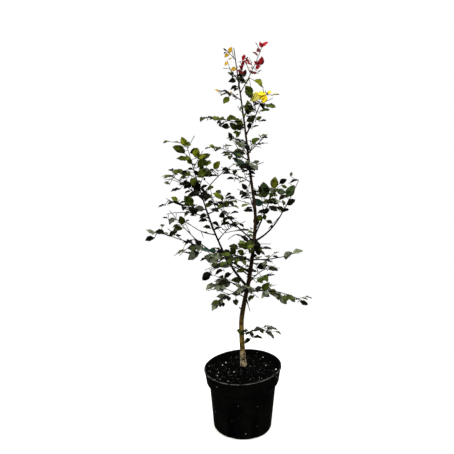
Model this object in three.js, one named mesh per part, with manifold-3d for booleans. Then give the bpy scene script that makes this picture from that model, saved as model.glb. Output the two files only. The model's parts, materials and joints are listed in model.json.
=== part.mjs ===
// A young european beech, about 1.4 m tall, growing in a round black nursery pot that stands free.
// Units are millimetres and +Z is up. The origin is the middle of the pot's flat underside.
// -Y is the front of the plant, and its longest limbs reach towards -X.

import * as THREE from "three";
import { mergeVertices } from "three/addons/utils/BufferGeometryUtils.js";
import Module from "manifold-3d";

const wasm = await Module();
wasm.setup();

const UP = new THREE.Vector3(0, 0, 1);
const DEGREE = Math.PI / 180;
const GAP = 0.35; // clearance where one piece grows from another
const STEM_GAP = 0.4; // clearance between a bough's tip and the stem that grows on from it

// The pot is 290 mm across its lip and 250 mm tall, a common 12 litre size.
const POT = {
  height: 250,
  wall: 2,
  footRadius: 107.5,
  bodyLowRadius: 111.5,
  bodyTopRadius: 125.5,
  bodyTop: 176,
  bandLowRadius: 137,
  bandLow: 194,
  bandTopRadius: 142.5,
  bandTop: 243,
  lipRadius: 145,
  cornerHeight: 5,
  floor: 2.5,
  segments: 36,
  squeeze: 0.07, // how far the soft rim is out of round
  squeezeHeading: 222, // where the rim bulges most
};
const DRAIN = { count: 8, width: 24, height: 6.5, depth: 8 };
const SOIL = { edge: 231, crown: 236, flatRadius: 62, clearOfWall: 1, clearOfFloor: 0.3 };

// Where the trunk's centre runs, from the soil to the leader's tip.
const TRUNK = {
  stations: [
    { z: 236.3, x: 3, y: 35 },
    { z: 330, x: -3, y: 34 },
    { z: 420, x: -6, y: 32 },
    { z: 480, x: 1, y: 30 },
    { z: 600, x: 22, y: 26 },
    { z: 740, x: 37, y: 20 },
    { z: 840, x: 41, y: 18 },
    { z: 990, x: 22, y: 18 },
    { z: 1180, x: -2, y: 12 },
    { z: 1424, x: -38, y: 6 },
  ],
  footRadius: 10.4,
  tipRadius: 1.4,
  flare: 1.8, // extra radius of the root flare
  flareHeight: 20,
  sides: 9,
  rings: 22,
  ringSpread: 1.25, // above 1, the rings are closer together near the foot
};

// Two dead snags on the lower trunk: where they leave it, which way they point, and their size.
const SNAGS = [
  { height: 466, heading: 185, rise: 14, reach: 15, radius: 2 },
  { height: 524, heading: 5, rise: -62, reach: 17, radius: 1.8 },
];

// Every shoot leaves the trunk at a height, or another shoot at a share of its length, and ends at
// its own tip. Heading is degrees from +X towards +Y, reach is level and rise is upright. Arch bows
// it up at the middle, or down where negative. Bare is the share of its length that is a bough with
// no leaves, 0 where its foliage starts at the trunk. Foot is the radius where it starts. Side twigs
// leave the leafy part, the first at the roll angle round it, and leaf is the usual blade length.
const SHOOT_COLUMNS =
  "name parent at heading reach rise arch bare foot twigs twigReach leaf roll finish".split(" ");
const SHOOTS = [
  ["low_sprig", "trunk", 365, -30, 140, 45, 12, 0, 1.7, 2, 46, 36, 10, "leaf_green"],
  ["low_left", "trunk", 520, -140, 155, 5, 30, 0, 2.2, 3, 66, 50, 15, "leaf_grey"],
  ["low_right", "trunk", 540, -25, 235, 0, 22, 0, 2.6, 5, 66, 50, -10, "leaf_grey"],
  ["low_left_front", "trunk", 545, -130, 215, 75, 30, 0, 2.6, 4, 80, 52, 0, "leaf_grey"],
  ["left_limb", "trunk", 560, 190, 220, 545, -84, 0.78, 5.4, 5, 84, 50, 75, "leaf_olive"],
  ["low_right_back", "trunk", 575, 45, 175, 15, 26, 0, 2.3, 3, 70, 50, 5, "leaf_green"],
  ["low_back_left", "trunk", 605, 145, 205, -20, 34, 0, 2.3, 4, 74, 50, 0, "leaf_green"],
  ["left_arm", "trunk", 620, 195, 340, 182, 14, 0.48, 3.6, 5, 80, 50, 15, "leaf_grey"],
  ["left_diagonal", "left_arm", 0.25, -145, 240, 224, -24, 0.4, 2.2, 4, 60, 42, 45, "leaf_green"],
  ["right_mid", "trunk", 670, 10, 190, 25, -12, 0, 2.4, 3, 58, 46, 0, "leaf_grey"],
  ["front_left", "trunk", 660, -120, 250, 75, 26, 0.3, 2.8, 4, 80, 52, 10, "leaf_green"],
  ["front_right", "trunk", 700, -85, 190, 85, 14, 0, 2.3, 3, 66, 50, 0, "leaf_green"],
  ["back_left", "trunk", 705, 115, 215, -20, 40, 0.3, 2.6, 4, 82, 50, 0, "leaf_green"],
  ["back_right", "trunk", 725, 80, 175, -60, 20, 0, 2.3, 3, 74, 50, 0, "leaf_green"],
  ["right_limb", "trunk", 740, -20, 160, 240, -42, 0.6, 3.8, 4, 62, 50, 80, "leaf_grey"],
  ["cross_limb", "trunk", 740, -160, 185, 205, -8, 0.55, 2.8, 4, 66, 44, 60, "leaf_green"],
  ["right_inner", "trunk", 760, 45, 100, 155, -6, 0.4, 2.6, 4, 66, 50, 70, "leaf_green"],
  ["mid_back", "trunk", 840, 100, 175, 60, 10, 0, 2.2, 4, 70, 48, 0, "leaf_green"],
  ["mid_left", "trunk", 960, 155, 115, 30, 6, 0, 1.6, 2, 46, 36, 10, "leaf_green"],
  ["mid_front", "trunk", 1000, -110, 120, 50, 8, 0, 1.9, 3, 56, 44, 0, "leaf_grey"],
  ["mid_right", "trunk", 1005, -50, 70, 40, 4, 0, 1.6, 2, 44, 42, 20, "leaf_grey"],
  ["upper_left", "trunk", 1040, -160, 140, 60, 8, 0, 2, 4, 56, 44, 15, "leaf_green"],
  ["upper_back", "trunk", 1050, 105, 120, 30, 6, 0, 1.8, 3, 54, 44, 0, "leaf_green"],
  ["upper_right", "trunk", 1065, -30, 75, 75, 0, 0, 1.8, 2, 40, 42, 30, "leaf_olive"],
  ["high_left", "trunk", 1100, -135, 90, 45, -6, 0, 1.6, 2, 42, 40, 20, "leaf_green"],
  ["right_top_limb", "trunk", 1130, 25, 75, 150, -8, 0.45, 2.4, 4, 50, 44, 80, "leaf_olive"],
  ["high_left_wing", "trunk", 1165, -160, 150, 35, 6, 0, 2, 4, 54, 44, 0, "leaf_olive"],
  ["high_front", "trunk", 1185, -80, 80, 62, 4, 0, 1.7, 2, 42, 42, 20, "leaf_green"],
  ["top_left", "trunk", 1250, -155, 85, 38, 8, 0, 1.4, 2, 32, 30, 30, "leaf_gold"],
  ["top_right", "trunk", 1275, 0, 75, 160, -10, 0.35, 1.6, 3, 34, 34, 80, "leaf_red"],
  ["top_back", "trunk", 1300, 75, 50, 95, 0, 0, 1.3, 2, 34, 28, 60, "leaf_red"],
  ["top_front", "trunk", 1310, -110, 75, 40, 4, 0, 1.3, 2, 40, 36, 20, "leaf_olive"],
  ["leader_tip", "trunk", 1385, -165, 35, 35, 0, 0, 1.1, 1, 26, 28, 40, "leaf_gold"],
  ["left_top_back", "left_limb", 0.76, 45, 155, 88, 12, 0.2, 2, 3, 60, 46, 10, "leaf_olive"],
  ["left_wing_high", "left_limb", 0.74, 160, 125, 80, 4, 0.2, 1.9, 3, 54, 42, 10, "leaf_olive"],
  ["left_wing_front", "left_limb", 0.69, -140, 165, 62, -10, 0.2, 2, 4, 60, 46, 10, "leaf_dark"],
  ["left_wing_mid", "left_limb", 0.64, 170, 158, 8, 14, 0.2, 2, 3, 58, 44, 5, "leaf_dark"],
  ["left_inner", "left_limb", 0.665, -45, 115, 70, -4, 0.2, 2, 3, 58, 46, 25, "leaf_olive"],
  ["left_inner_low", "left_limb", 0.5, 55, 115, 30, 10, 0.2, 1.9, 3, 56, 42, 10, "leaf_green"],
  ["left_wing_low", "left_limb", 0.54, -130, 155, 85, -12, 0.2, 2, 4, 60, 44, 10, "leaf_dark"],
].map((row) => Object.fromEntries(row.map((value, i) => [SHOOT_COLUMNS[i], value])));
const SHOOT_TIP_RADIUS = 1.4;
const BOUGH = { sides: 6, ringSpacing: 45 };

// How leaves and twigs are spaced and turned. Lengths are in mm and angles in degrees.
const GROWTH = {
  seed: 1000,
  leafSpacing: 36,
  wander: 22, // how far a leaf or twig strays round its stem, to either side
  twigZone: 0.85, // the share of a shoot's leafy part that bears side twigs
  twigRadius: 1.7,
  twigAngle: 48,
  twigAngleSpread: 10,
  twigLift: 0.3,
  twigStep: 7, // how far apart a twig's or limb's claimed points are
  clearOfOthers: 13,
  clearOfOwn: 12,
  clearOfLimb: 5,
};

const LEAF = {
  width: 0.64, // as a share of the length
  angle: 56,
  angleSpread: 12,
  sizeSpread: 0.22,
  rollSpread: 42,
  droop: 0.17,
  droopSpread: 0.27,
  skyward: 0.75, // how much a full-grown blade turns its face up
  hangingLength: 24, // blades this short hang from their twig, and longer ones lift by degrees
  levelLength: 40,
  turns: [
    { lean: 0, lift: 0, roll: 0 },
    { lean: 18, lift: 0.25, roll: -35 },
    { lean: -18, lift: -0.3, roll: 35 },
    { lean: 8, lift: -0.5, roll: 60 },
  ],
};

// The leaf as a solid: its stalk is sunk in the stem, and the rest are shares of its length.
const BLADE = {
  sink: 0.4,
  stalk: 5,
  stalkHalfWidth: 1,
  stalkRise: 0.3,
  lowShoulder: 0.34,
  highShoulder: 0.7,
  rib: 0.03,
  curl: 0.07,
  fullness: 1.08,
};

const FINISHES = {
  pot: new THREE.MeshStandardMaterial({ color: 0x0b0b0c, roughness: 0.42, metalness: 0 }),
  soil: new THREE.MeshStandardMaterial({ color: 0x17120e, roughness: 0.95, metalness: 0 }),
  bark: new THREE.MeshStandardMaterial({ color: 0x6b5433, roughness: 0.8, metalness: 0 }),
  leaf_green: new THREE.MeshStandardMaterial({ color: 0x2b3a12, roughness: 0.45, metalness: 0 }),
  leaf_grey: new THREE.MeshStandardMaterial({ color: 0x55604a, roughness: 0.38, metalness: 0 }),
  leaf_olive: new THREE.MeshStandardMaterial({ color: 0x55661a, roughness: 0.45, metalness: 0 }),
  leaf_dark: new THREE.MeshStandardMaterial({ color: 0x262b14, roughness: 0.42, metalness: 0 }),
  leaf_gold: new THREE.MeshStandardMaterial({ color: 0xb98a1c, roughness: 0.45, metalness: 0 }),
  leaf_red: new THREE.MeshStandardMaterial({ color: 0x6e1016, roughness: 0.42, metalness: 0 }),
};

// Draws numbers from 0 to 1, always the same ones for the same seed.
function seededRandom(seed) {
  let state = seed >>> 0;
  return () => {
    state = (state + 0x6d2b79f5) >>> 0;
    let mixed = Math.imul(state ^ (state >>> 15), state | 1);
    mixed ^= mixed + Math.imul(mixed ^ (mixed >>> 7), mixed | 61);
    return ((mixed ^ (mixed >>> 14)) >>> 0) / 4294967296;
  };
}

// The trunk's centre and radius at a height, on a smooth line through its stations.
function trunkCentre(z) {
  const s = TRUNK.stations;
  const last = s.length - 2;
  const k = Math.min(last, Math.max(0, s.findIndex((station) => station.z > z) - 1));
  const i = z >= s[s.length - 1].z ? last : k;
  const slope = (j, axis) => {
    const before = s[Math.max(0, j - 1)];
    const after = s[Math.min(s.length - 1, j + 1)];
    return (after[axis] - before[axis]) / (after.z - before.z);
  };
  const span = s[i + 1].z - s[i].z;
  const t = (z - s[i].z) / span;
  const blend = (axis) =>
    s[i][axis] * (1 + 2 * t) * (1 - t) ** 2 +
    s[i + 1][axis] * t * t * (3 - 2 * t) +
    span * t * (1 - t) * (slope(i, axis) * (1 - t) - slope(i + 1, axis) * t);
  return new THREE.Vector3(blend("x"), blend("y"), z);
}

const GROUND = TRUNK.stations[0].z;
const TREE_TOP = TRUNK.stations[TRUNK.stations.length - 1].z;

function trunkRadius(z) {
  const share = (z - GROUND) / (TREE_TOP - GROUND);
  const flare = TRUNK.flare * Math.exp((GROUND - z) / TRUNK.flareHeight);
  return TRUNK.footRadius + (TRUNK.tipRadius - TRUNK.footRadius) * share + flare;
}

// A shoot's centre and radius at a share of its length.
const shootNamed = new Map(SHOOTS.map((shoot) => [shoot.name, shoot]));

function shootPoint(shoot, t) {
  const start =
    shoot.parent === "trunk" ? trunkCentre(shoot.at) : shootPoint(shootNamed.get(shoot.parent), shoot.at);
  const a = shoot.heading * DEGREE;
  const level = new THREE.Vector3(Math.cos(a), Math.sin(a), 0);
  const lift = shoot.rise * t + shoot.arch * Math.sin(Math.PI * t);
  return start.addScaledVector(level, shoot.reach * t).addScaledVector(UP, lift);
}

function shootRadius(shoot, t) {
  return shoot.foot + (SHOOT_TIP_RADIUS - shoot.foot) * t;
}

function direction(pointAt, t) {
  const step = 0.01;
  const from = pointAt(Math.max(0, t - step));
  return pointAt(Math.min(1, t + step)).sub(from).normalize();
}

function pathLength(pointAt, from, to) {
  const steps = 24;
  let length = 0;
  for (let i = 0; i < steps; i++) {
    const a = pointAt(from + ((to - from) * i) / steps);
    length += a.distanceTo(pointAt(from + ((to - from) * (i + 1)) / steps));
  }
  return length;
}

// The direction square to a shoot, at an angle round it from level.
function sideways(along, angle) {
  const level = new THREE.Vector3().crossVectors(along, UP);
  if (level.length() < 0.05) level.set(1, 0, 0);
  level.normalize();
  const over = new THREE.Vector3().crossVectors(level, along);
  return level.multiplyScalar(Math.cos(angle)).addScaledVector(over, Math.sin(angle));
}

// The room already taken: points on limbs, twigs and blades, kept in cells for a quick search. A
// cell is wider than any clearance.
const CELL = 20;
const taken = new Map();
const cellKey = (x, y, z) => `${x},${y},${z}`;

function claim(point, radius, owner, kind) {
  const key = cellKey(...point.toArray().map((c) => Math.floor(c / CELL)));
  if (!taken.has(key)) taken.set(key, []);
  taken.get(key).push({ point, radius, owner, kind });
}

// How far a point of a leaf or twig keeps from what has claimed its room. A shoot's own twigs
// don't count, and its own blades count for its leaves only.
function clearance(other, owner, forTwig) {
  if (other.kind === "limb") return other.radius + GROWTH.clearOfLimb;
  if (other.owner !== owner) return GROWTH.clearOfOthers;
  return other.kind === "twig" || forTwig ? 0 : GROWTH.clearOfOwn;
}

function isCrowded(point, owner, forTwig) {
  const [x, y, z] = point.toArray().map((c) => Math.floor(c / CELL));
  for (let i = x - 1; i <= x + 1; i++)
    for (let j = y - 1; j <= y + 1; j++)
      for (let k = z - 1; k <= z + 1; k++)
        for (const other of taken.get(cellKey(i, j, k)) ?? [])
          if (point.distanceTo(other.point) < clearance(other, owner, forTwig)) return true;
  return false;
}

// Half the width of a blade at a share of its length, as a share of its length. It is widest a
// little below the middle.
function bladeHalfWidth(s) {
  return 0.5 * LEAF.width * Math.sin(Math.PI * s ** 0.85) ** 0.8;
}

// Points spread over a blade, to test its room with.
function bladePoints(leaf) {
  const across = new THREE.Vector3().crossVectors(leaf.along, leaf.face);
  return [0.1, 0.3, 0.5, 0.7, 0.9, 1].flatMap((s) =>
    [-0.7, 0, 0.7].map((w) =>
      leaf.foot
        .clone()
        .addScaledVector(leaf.along, s * leaf.length)
        .addScaledVector(across, w * bladeHalfWidth(s) * leaf.length),
    ),
  );
}

// One leaf on a stem, turned to its side of the stem and then up towards the light. It has a few
// other ways to turn, for when the first has no room.
function makeLeaf(random, foot, along, side, length) {
  const either = () => 2 * random() - 1;
  const angle = LEAF.angle + LEAF.angleSpread * either();
  const size = length * (1 + LEAF.sizeSpread * either());
  const roll = LEAF.rollSpread * either();
  const droop = LEAF.droop + LEAF.droopSpread * either();
  const age = (length - LEAF.hangingLength) / (LEAF.levelLength - LEAF.hangingLength);
  const skyward = LEAF.skyward * Math.min(1, Math.max(0.1, age));
  const towards = side ?? sideways(along, roll * DEGREE);
  return LEAF.turns.map((turn) => {
    const lean = (side ? angle + turn.lean : 0.6 * turn.lean) * DEGREE;
    const way = along.clone().multiplyScalar(Math.cos(lean)).addScaledVector(towards, Math.sin(lean));
    way.addScaledVector(UP, turn.lift - droop).normalize();
    const face = new THREE.Vector3().crossVectors(along, towards);
    if (face.z < 0) face.negate();
    face.addScaledVector(UP, skyward);
    face.addScaledVector(way, -face.dot(way)).normalize();
    face.applyAxisAngle(way, (roll + turn.roll) * DEGREE);
    return { foot, along: way, face, length: size };
  });
}

// One side twig: it leaves its stem at an angle, lifts a little, and carries leaves in two rows
// and one at its tip.
function growTwig(random, leafLength, foot, along, side, length) {
  const angle = (GROWTH.twigAngle + GROWTH.twigAngleSpread * (2 * random() - 1)) * DEGREE;
  const way = along.clone().multiplyScalar(Math.cos(angle)).addScaledVector(side, Math.sin(angle));
  way.addScaledVector(UP, GROWTH.twigLift * (random() - 0.3)).normalize();
  const pointAt = (t) => foot.clone().addScaledVector(way, length * t);
  const leaves = [];
  const count = Math.max(1, Math.round(length / GROWTH.leafSpacing));
  for (let i = 0; i < count; i++) {
    const t = (i + 0.75) / (count + 0.4);
    const row = sideways(way, i * Math.PI + strayAngle(random));
    leaves.push(makeLeaf(random, pointAt(t), way, row, leafLength * (0.92 - 0.12 * t)));
  }
  const tip = makeLeaf(random, pointAt(0.98), way, null, leafLength * 0.85);
  return { pointAt, way, length, leaves, tip };
}

function strayAngle(random) {
  return GROWTH.wander * (2 * random() - 1) * DEGREE;
}

// The leafy part of a shoot, as straight lengths of stem with one leaf node in the middle of each.
function stemOf(shoot) {
  const path = (t) => shootPoint(shoot, t);
  const start = shoot.bare > 0 ? shoot.bare + STEM_GAP / pathLength(path, 0, 1) : 0;
  const nodes = Math.max(3, Math.round(pathLength(path, start, 1) / GROWTH.leafSpacing));
  const shareAt = (t) => start + (1 - start) * t;
  const pointAt = (t) => {
    const i = Math.min(nodes - 1, Math.floor(t * nodes));
    const from = path(shareAt(i / nodes));
    return from.lerp(path(shareAt((i + 1) / nodes)), t * nodes - i);
  };
  return { pointAt, nodes, radiusAt: (t) => shootRadius(shoot, shareAt(t)) };
}

// All the twigs and leaves of one shoot. Each one that has no room is skipped, and the leaves at
// the tips have the first choice of room.
function growFoliage(shoot, stem, seed) {
  const random = seededRandom(seed);
  const twigEvery = Math.max(1, Math.floor((GROWTH.twigZone * stem.nodes) / shoot.twigs));
  const twigs = [];
  const leaves = [];
  for (let i = 0; i < stem.nodes; i++) {
    const t = (i + 0.5) / stem.nodes;
    const along = direction(stem.pointAt, t);
    const side = sideways(along, shoot.roll * DEGREE + i * Math.PI + strayAngle(random));
    const reach = shoot.twigReach * (1.1 - 0.6 * t) * (0.8 + 0.4 * random());
    const bearsTwig = i % twigEvery === 0 && twigs.length < shoot.twigs;
    if (bearsTwig) twigs.push(growTwig(random, shoot.leaf, stem.pointAt(t), along, side, reach));
    const leafSide = bearsTwig ? side.clone().negate() : side;
    leaves.push(makeLeaf(random, stem.pointAt(t), along, leafSide, shoot.leaf * (1.04 - 0.2 * t)));
  }
  const tip = makeLeaf(random, stem.pointAt(0.985), direction(stem.pointAt, 1), null, shoot.leaf * 0.8);
  const keptTwigs = twigs.filter((twig) => claimTwig(twig, shoot.name));
  const tips = [tip, ...keptTwigs.map((twig) => twig.tip)];
  const others = [...leaves, ...keptTwigs.flatMap((twig) => twig.leaves)];
  const keptLeaves = [...tips, ...others].map((turns) => claimLeaf(turns, shoot.name)).filter(Boolean);
  return { twigs: keptTwigs, leaves: keptLeaves };
}

function claimTwig(twig, owner) {
  const steps = Math.ceil(twig.length / GROWTH.twigStep);
  const points = [];
  for (let i = 2; i <= steps; i++) points.push(twig.pointAt(i / steps));
  if (points.some((point) => isCrowded(point, owner, true))) return false;
  points.forEach((point) => claim(point, GROWTH.twigRadius, owner, "twig"));
  return true;
}

// The first of a leaf's turns that has room, or nothing.
function claimLeaf(turns, owner) {
  const leaf = turns.find((turn) => !bladePoints(turn).some((point) => isCrowded(point, owner, false)));
  if (leaf) bladePoints(leaf).forEach((point) => claim(point, 0, owner, "blade"));
  return leaf;
}

// A geometry as a solid, once its seams are merged and its flattened triangles dropped.
function solidOf(geometry) {
  const bare = geometry.clone();
  for (const name of Object.keys(bare.attributes)) if (name !== "position") bare.deleteAttribute(name);
  const merged = mergeVertices(bare, 1e-3);
  const index = merged.index.array;
  const faces = [];
  for (let i = 0; i < index.length; i += 3) {
    const [a, b, c] = index.slice(i, i + 3);
    if (a !== b && b !== c && a !== c) faces.push(a, b, c);
  }
  return new wasm.Manifold(
    new wasm.Mesh({
      numProp: 3,
      vertProperties: new Float32Array(merged.attributes.position.array),
      triVerts: new Uint32Array(faces),
    }),
  );
}

function geometryOf(solid) {
  const mesh = solid.getMesh();
  const geometry = new THREE.BufferGeometry();
  geometry.setAttribute("position", new THREE.BufferAttribute(new Float32Array(mesh.vertProperties), 3));
  geometry.setIndex(new THREE.BufferAttribute(new Uint32Array(mesh.triVerts), 1));
  geometry.computeVertexNormals();
  return geometry;
}

// Moves each vertex of an upright unit cylinder to a place told by its share of the height, the
// angle round the axis and the distance from it, which is 1 on the wall and 0 at a cap's middle.
function shapeCylinder(sides, rings, placeAt) {
  const geometry = new THREE.CylinderGeometry(1, 1, 1, sides, rings);
  const place = geometry.attributes.position;
  for (let i = 0; i < place.count; i++) {
    const t = Math.min(1, Math.max(0, place.getY(i) + 0.5));
    const reach = Math.hypot(place.getX(i), place.getZ(i)) > 1e-4 ? 1 : 0;
    const angle = Math.atan2(-place.getZ(i), place.getX(i));
    place.setXYZ(i, ...placeAt(t, angle, reach).toArray());
  }
  return solidOf(geometry);
}

// A round, tapering limb along a path, from one share of its length to another.
function limbSolid(pointAt, radiusAt, from, to, sides, rings) {
  return shapeCylinder(sides, rings, (share, angle, reach) => {
    const t = from + (to - from) * share;
    const along = direction(pointAt, t);
    return pointAt(t).addScaledVector(sideways(along, -angle), radiusAt(t) * reach);
  });
}

function trunkSolid(extra) {
  return shapeCylinder(TRUNK.sides, TRUNK.rings, (share, angle, reach) => {
    const z = GROUND + (TREE_TOP - GROUND) * share ** TRUNK.ringSpread;
    const radius = (trunkRadius(z) + extra) * reach;
    return trunkCentre(z).add(new THREE.Vector3(Math.cos(angle), Math.sin(angle), 0).multiplyScalar(radius));
  });
}

function snagSolid(snag) {
  const start = trunkCentre(snag.height);
  const a = snag.heading * DEGREE;
  const pointAt = (t) =>
    start
      .clone()
      .add(new THREE.Vector3(Math.cos(a) * snag.reach * t, Math.sin(a) * snag.reach * t, snag.rise * t));
  return limbSolid(pointAt, (t) => snag.radius * (1 - 0.3 * t), 0, 1, 5, 1);
}

// A twig or a leaf is a three-sided body that starts as a point sunk in its stem.
function growSolid(foot, along, face, sections) {
  const across = new THREE.Vector3().crossVectors(along, face);
  return shapeCylinder(3, sections.length - 1, (share, angle, reach) => {
    const section = sections[Math.round(share * (sections.length - 1))];
    const corner = ((Math.round(angle / (120 * DEGREE)) % 3) + 3) % 3;
    const side = [-1, 1, 0][reach ? corner : 0];
    const below = reach && corner === 2 ? section.below : 0;
    return foot
      .clone()
      .addScaledVector(along, section.at)
      .addScaledVector(across, side * section.half)
      .addScaledVector(face, section.above - below);
  });
}

// The flat side of a leaf is its upper face, and its midrib stands out below. A short stalk joins it
// to its stem.
function leafSolid(leaf) {
  const { length } = leaf;
  const section = (share, half) => ({
    at: share * length,
    half,
    below: BLADE.rib * length,
    above: BLADE.stalkRise - BLADE.curl * length * share ** 2,
  });
  const shoulder = (share) => section(share, bladeHalfWidth(share) * length * BLADE.fullness);
  return growSolid(leaf.foot, leaf.along, leaf.face, [
    { at: -BLADE.sink, half: 0, below: 0, above: 0 },
    section(BLADE.stalk / length, BLADE.stalkHalfWidth),
    shoulder(BLADE.lowShoulder),
    shoulder(BLADE.highShoulder),
    { at: length, half: 0, below: 0, above: -(BLADE.curl + 0.5 * BLADE.rib) * length },
  ]);
}

function twigSolid(twig) {
  const section = (at, radius) => ({ at, half: radius * 0.87, below: radius * 1.5, above: radius * 0.5 });
  return growSolid(twig.pointAt(0), twig.way, sideways(twig.way, Math.PI / 2), [
    { at: -BLADE.sink, half: 0, below: 0, above: 0 },
    section(4 * GROWTH.twigRadius, GROWTH.twigRadius),
    section(twig.length, 0.8 * GROWTH.twigRadius),
  ]);
}

// Revolves a profile of [radius, height] points, and pushes it a little out of round higher up.
function revolve(profile) {
  const points = profile.map(([radius, height]) => new THREE.Vector2(radius, height));
  const geometry = new THREE.LatheGeometry(points, POT.segments);
  geometry.rotateX(Math.PI / 2);
  const place = geometry.attributes.position;
  for (let i = 0; i < place.count; i++) {
    const angle = Math.atan2(place.getY(i), place.getX(i));
    const bulge = Math.cos(2 * (angle - POT.squeezeHeading * DEGREE));
    const scale = 1 + POT.squeeze * (place.getZ(i) / POT.height) ** 2 * bulge;
    place.setXYZ(i, place.getX(i) * scale, place.getY(i) * scale, place.getZ(i));
  }
  return solidOf(geometry);
}

function potSolid() {
  const p = POT;
  const shell = revolve([
    [0, 0],
    [p.footRadius, 0],
    [p.bodyLowRadius, p.cornerHeight],
    [p.bodyTopRadius, p.bodyTop],
    [p.bandLowRadius, p.bandLow],
    [p.bandTopRadius, p.bandTop],
    [p.lipRadius, p.bandTop + 1.5],
    [p.lipRadius, p.height],
    [p.bandTopRadius - p.wall, p.height],
    [p.bandLowRadius - p.wall, p.bandLow + 1],
    [p.bodyTopRadius - p.wall, p.bodyTop + 1],
    [p.bodyLowRadius - p.wall, p.floor],
    [0, p.floor],
  ]);
  const cutters = [];
  for (let i = 0; i < DRAIN.count; i++) {
    const slot = new THREE.BoxGeometry(2 * DRAIN.depth, DRAIN.width, 2 * DRAIN.height);
    slot.translate(p.footRadius, 0, 0);
    slot.rotateZ(((i + 0.5) * 2 * Math.PI) / DRAIN.count);
    cutters.push(solidOf(slot));
  }
  return shell.subtract(wasm.Manifold.union(cutters));
}

function soilSolid() {
  const p = POT;
  const inset = p.wall + SOIL.clearOfWall;
  const bottom = p.floor + SOIL.clearOfFloor;
  const edgeShare = (SOIL.edge - p.bandLow - 1) / (p.height - p.bandLow - 1);
  const edgeRadius = p.bandLowRadius + (p.bandTopRadius - p.bandLowRadius) * edgeShare;
  return revolve([
    [0, bottom],
    [p.bodyLowRadius - inset, bottom],
    [p.bodyTopRadius - inset, p.bodyTop + 1],
    [p.bandLowRadius - inset, p.bandLow + 1],
    [edgeRadius - inset, SOIL.edge],
    [SOIL.flatRadius, SOIL.crown],
    [0, SOIL.crown],
  ]);
}

const plant = new THREE.Group();

function addMesh(name, solid, finish) {
  const mesh = new THREE.Mesh(geometryOf(solid), FINISHES[finish]);
  mesh.name = name;
  plant.add(mesh);
}

// The trunk and the boughs. Each bough's foot is cut to fit what it grows from, a gap clear of it.
const trunkToFit = trunkSolid(GAP);
const fitSolids = new Map([["trunk", trunkToFit]]);

function boughSolid(shoot, extra) {
  const pointAt = (t) => shootPoint(shoot, t);
  const rings = Math.max(2, Math.round(pathLength(pointAt, 0, shoot.bare) / BOUGH.ringSpacing));
  return limbSolid(pointAt, (t) => shootRadius(shoot, t) + extra, 0, shoot.bare, BOUGH.sides, rings);
}

addMesh("pot", potSolid(), "pot");
addMesh("soil", soilSolid(), "soil");
addMesh("trunk", wasm.Manifold.union([trunkSolid(0), ...SNAGS.map(snagSolid)]), "bark");
const boughs = SHOOTS.filter((shoot) => shoot.bare > 0);
for (const shoot of boughs) {
  addMesh(`bough_${shoot.name}`, boughSolid(shoot, 0).subtract(fitSolids.get(shoot.parent)), "bark");
  fitSolids.set(shoot.name, boughSolid(shoot, GAP));
}

// Every limb and every leafy stem claims its room before any leaf is placed.
function claimPath(pointAt, radiusAt, from, to, owner, kind) {
  const steps = Math.ceil(pathLength(pointAt, from, to) / GROWTH.twigStep);
  for (let i = 0; i <= steps; i++) {
    const t = from + ((to - from) * i) / steps;
    claim(pointAt(t), radiusAt(t), owner, kind);
  }
}

const trunkHeight = (share) => GROUND + (TREE_TOP - GROUND) * share;
claimPath(
  (share) => trunkCentre(trunkHeight(share)),
  (share) => trunkRadius(trunkHeight(share)),
  0,
  1,
  "trunk",
  "limb",
);
for (const shoot of SHOOTS) {
  const pointAt = (t) => shootPoint(shoot, t);
  const radiusAt = (t) => shootRadius(shoot, t);
  if (shoot.bare > 0) claimPath(pointAt, radiusAt, 0, shoot.bare, shoot.name, "limb");
  claimPath(pointAt, radiusAt, Math.max(shoot.bare, 0.06), 1, shoot.name, "twig");
}

// Each mass of foliage is its stem, its side twigs and their leaves, fused into one piece.
SHOOTS.forEach((shoot, order) => {
  const stem = stemOf(shoot);
  const { twigs, leaves } = growFoliage(shoot, stem, GROWTH.seed + order);
  const stemSolid = limbSolid(stem.pointAt, stem.radiusAt, 0, 1, 3, stem.nodes);
  let mass = wasm.Manifold.union([stemSolid, ...twigs.map(twigSolid), ...leaves.map(leafSolid)]);
  if (shoot.bare === 0) mass = mass.subtract(trunkToFit);
  const pieces = mass.decompose().sort((a, b) => b.volume() - a.volume());
  addMesh(`foliage_${shoot.name}`, pieces[0], shoot.finish);
});

export default plant;
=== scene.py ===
import json
import math
from itertools import accumulate

import bmesh
import bpy
import numpy as np
from mathutils import Matrix, Vector, noise

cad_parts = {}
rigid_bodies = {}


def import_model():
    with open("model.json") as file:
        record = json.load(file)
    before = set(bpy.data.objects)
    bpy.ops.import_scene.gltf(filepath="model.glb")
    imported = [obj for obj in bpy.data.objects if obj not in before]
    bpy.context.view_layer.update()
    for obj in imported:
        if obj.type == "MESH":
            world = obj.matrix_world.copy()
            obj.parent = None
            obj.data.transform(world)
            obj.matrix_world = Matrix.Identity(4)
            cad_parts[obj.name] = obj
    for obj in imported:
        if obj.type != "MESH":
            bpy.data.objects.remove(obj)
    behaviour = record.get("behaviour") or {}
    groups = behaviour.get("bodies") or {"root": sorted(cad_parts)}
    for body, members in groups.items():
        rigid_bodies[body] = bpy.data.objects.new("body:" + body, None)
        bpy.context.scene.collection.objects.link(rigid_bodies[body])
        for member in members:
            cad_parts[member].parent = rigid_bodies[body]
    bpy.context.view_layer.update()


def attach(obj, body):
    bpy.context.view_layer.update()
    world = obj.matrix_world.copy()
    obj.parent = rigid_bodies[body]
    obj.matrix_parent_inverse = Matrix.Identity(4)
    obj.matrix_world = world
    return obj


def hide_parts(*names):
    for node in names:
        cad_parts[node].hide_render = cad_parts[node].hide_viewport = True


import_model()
scene = bpy.context.scene
mm = 0.001
up = Vector((0, 0, 1))


def linkObject(name, data):
    made = bpy.data.objects.new(name, data)
    scene.collection.objects.link(made)
    return made


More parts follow.
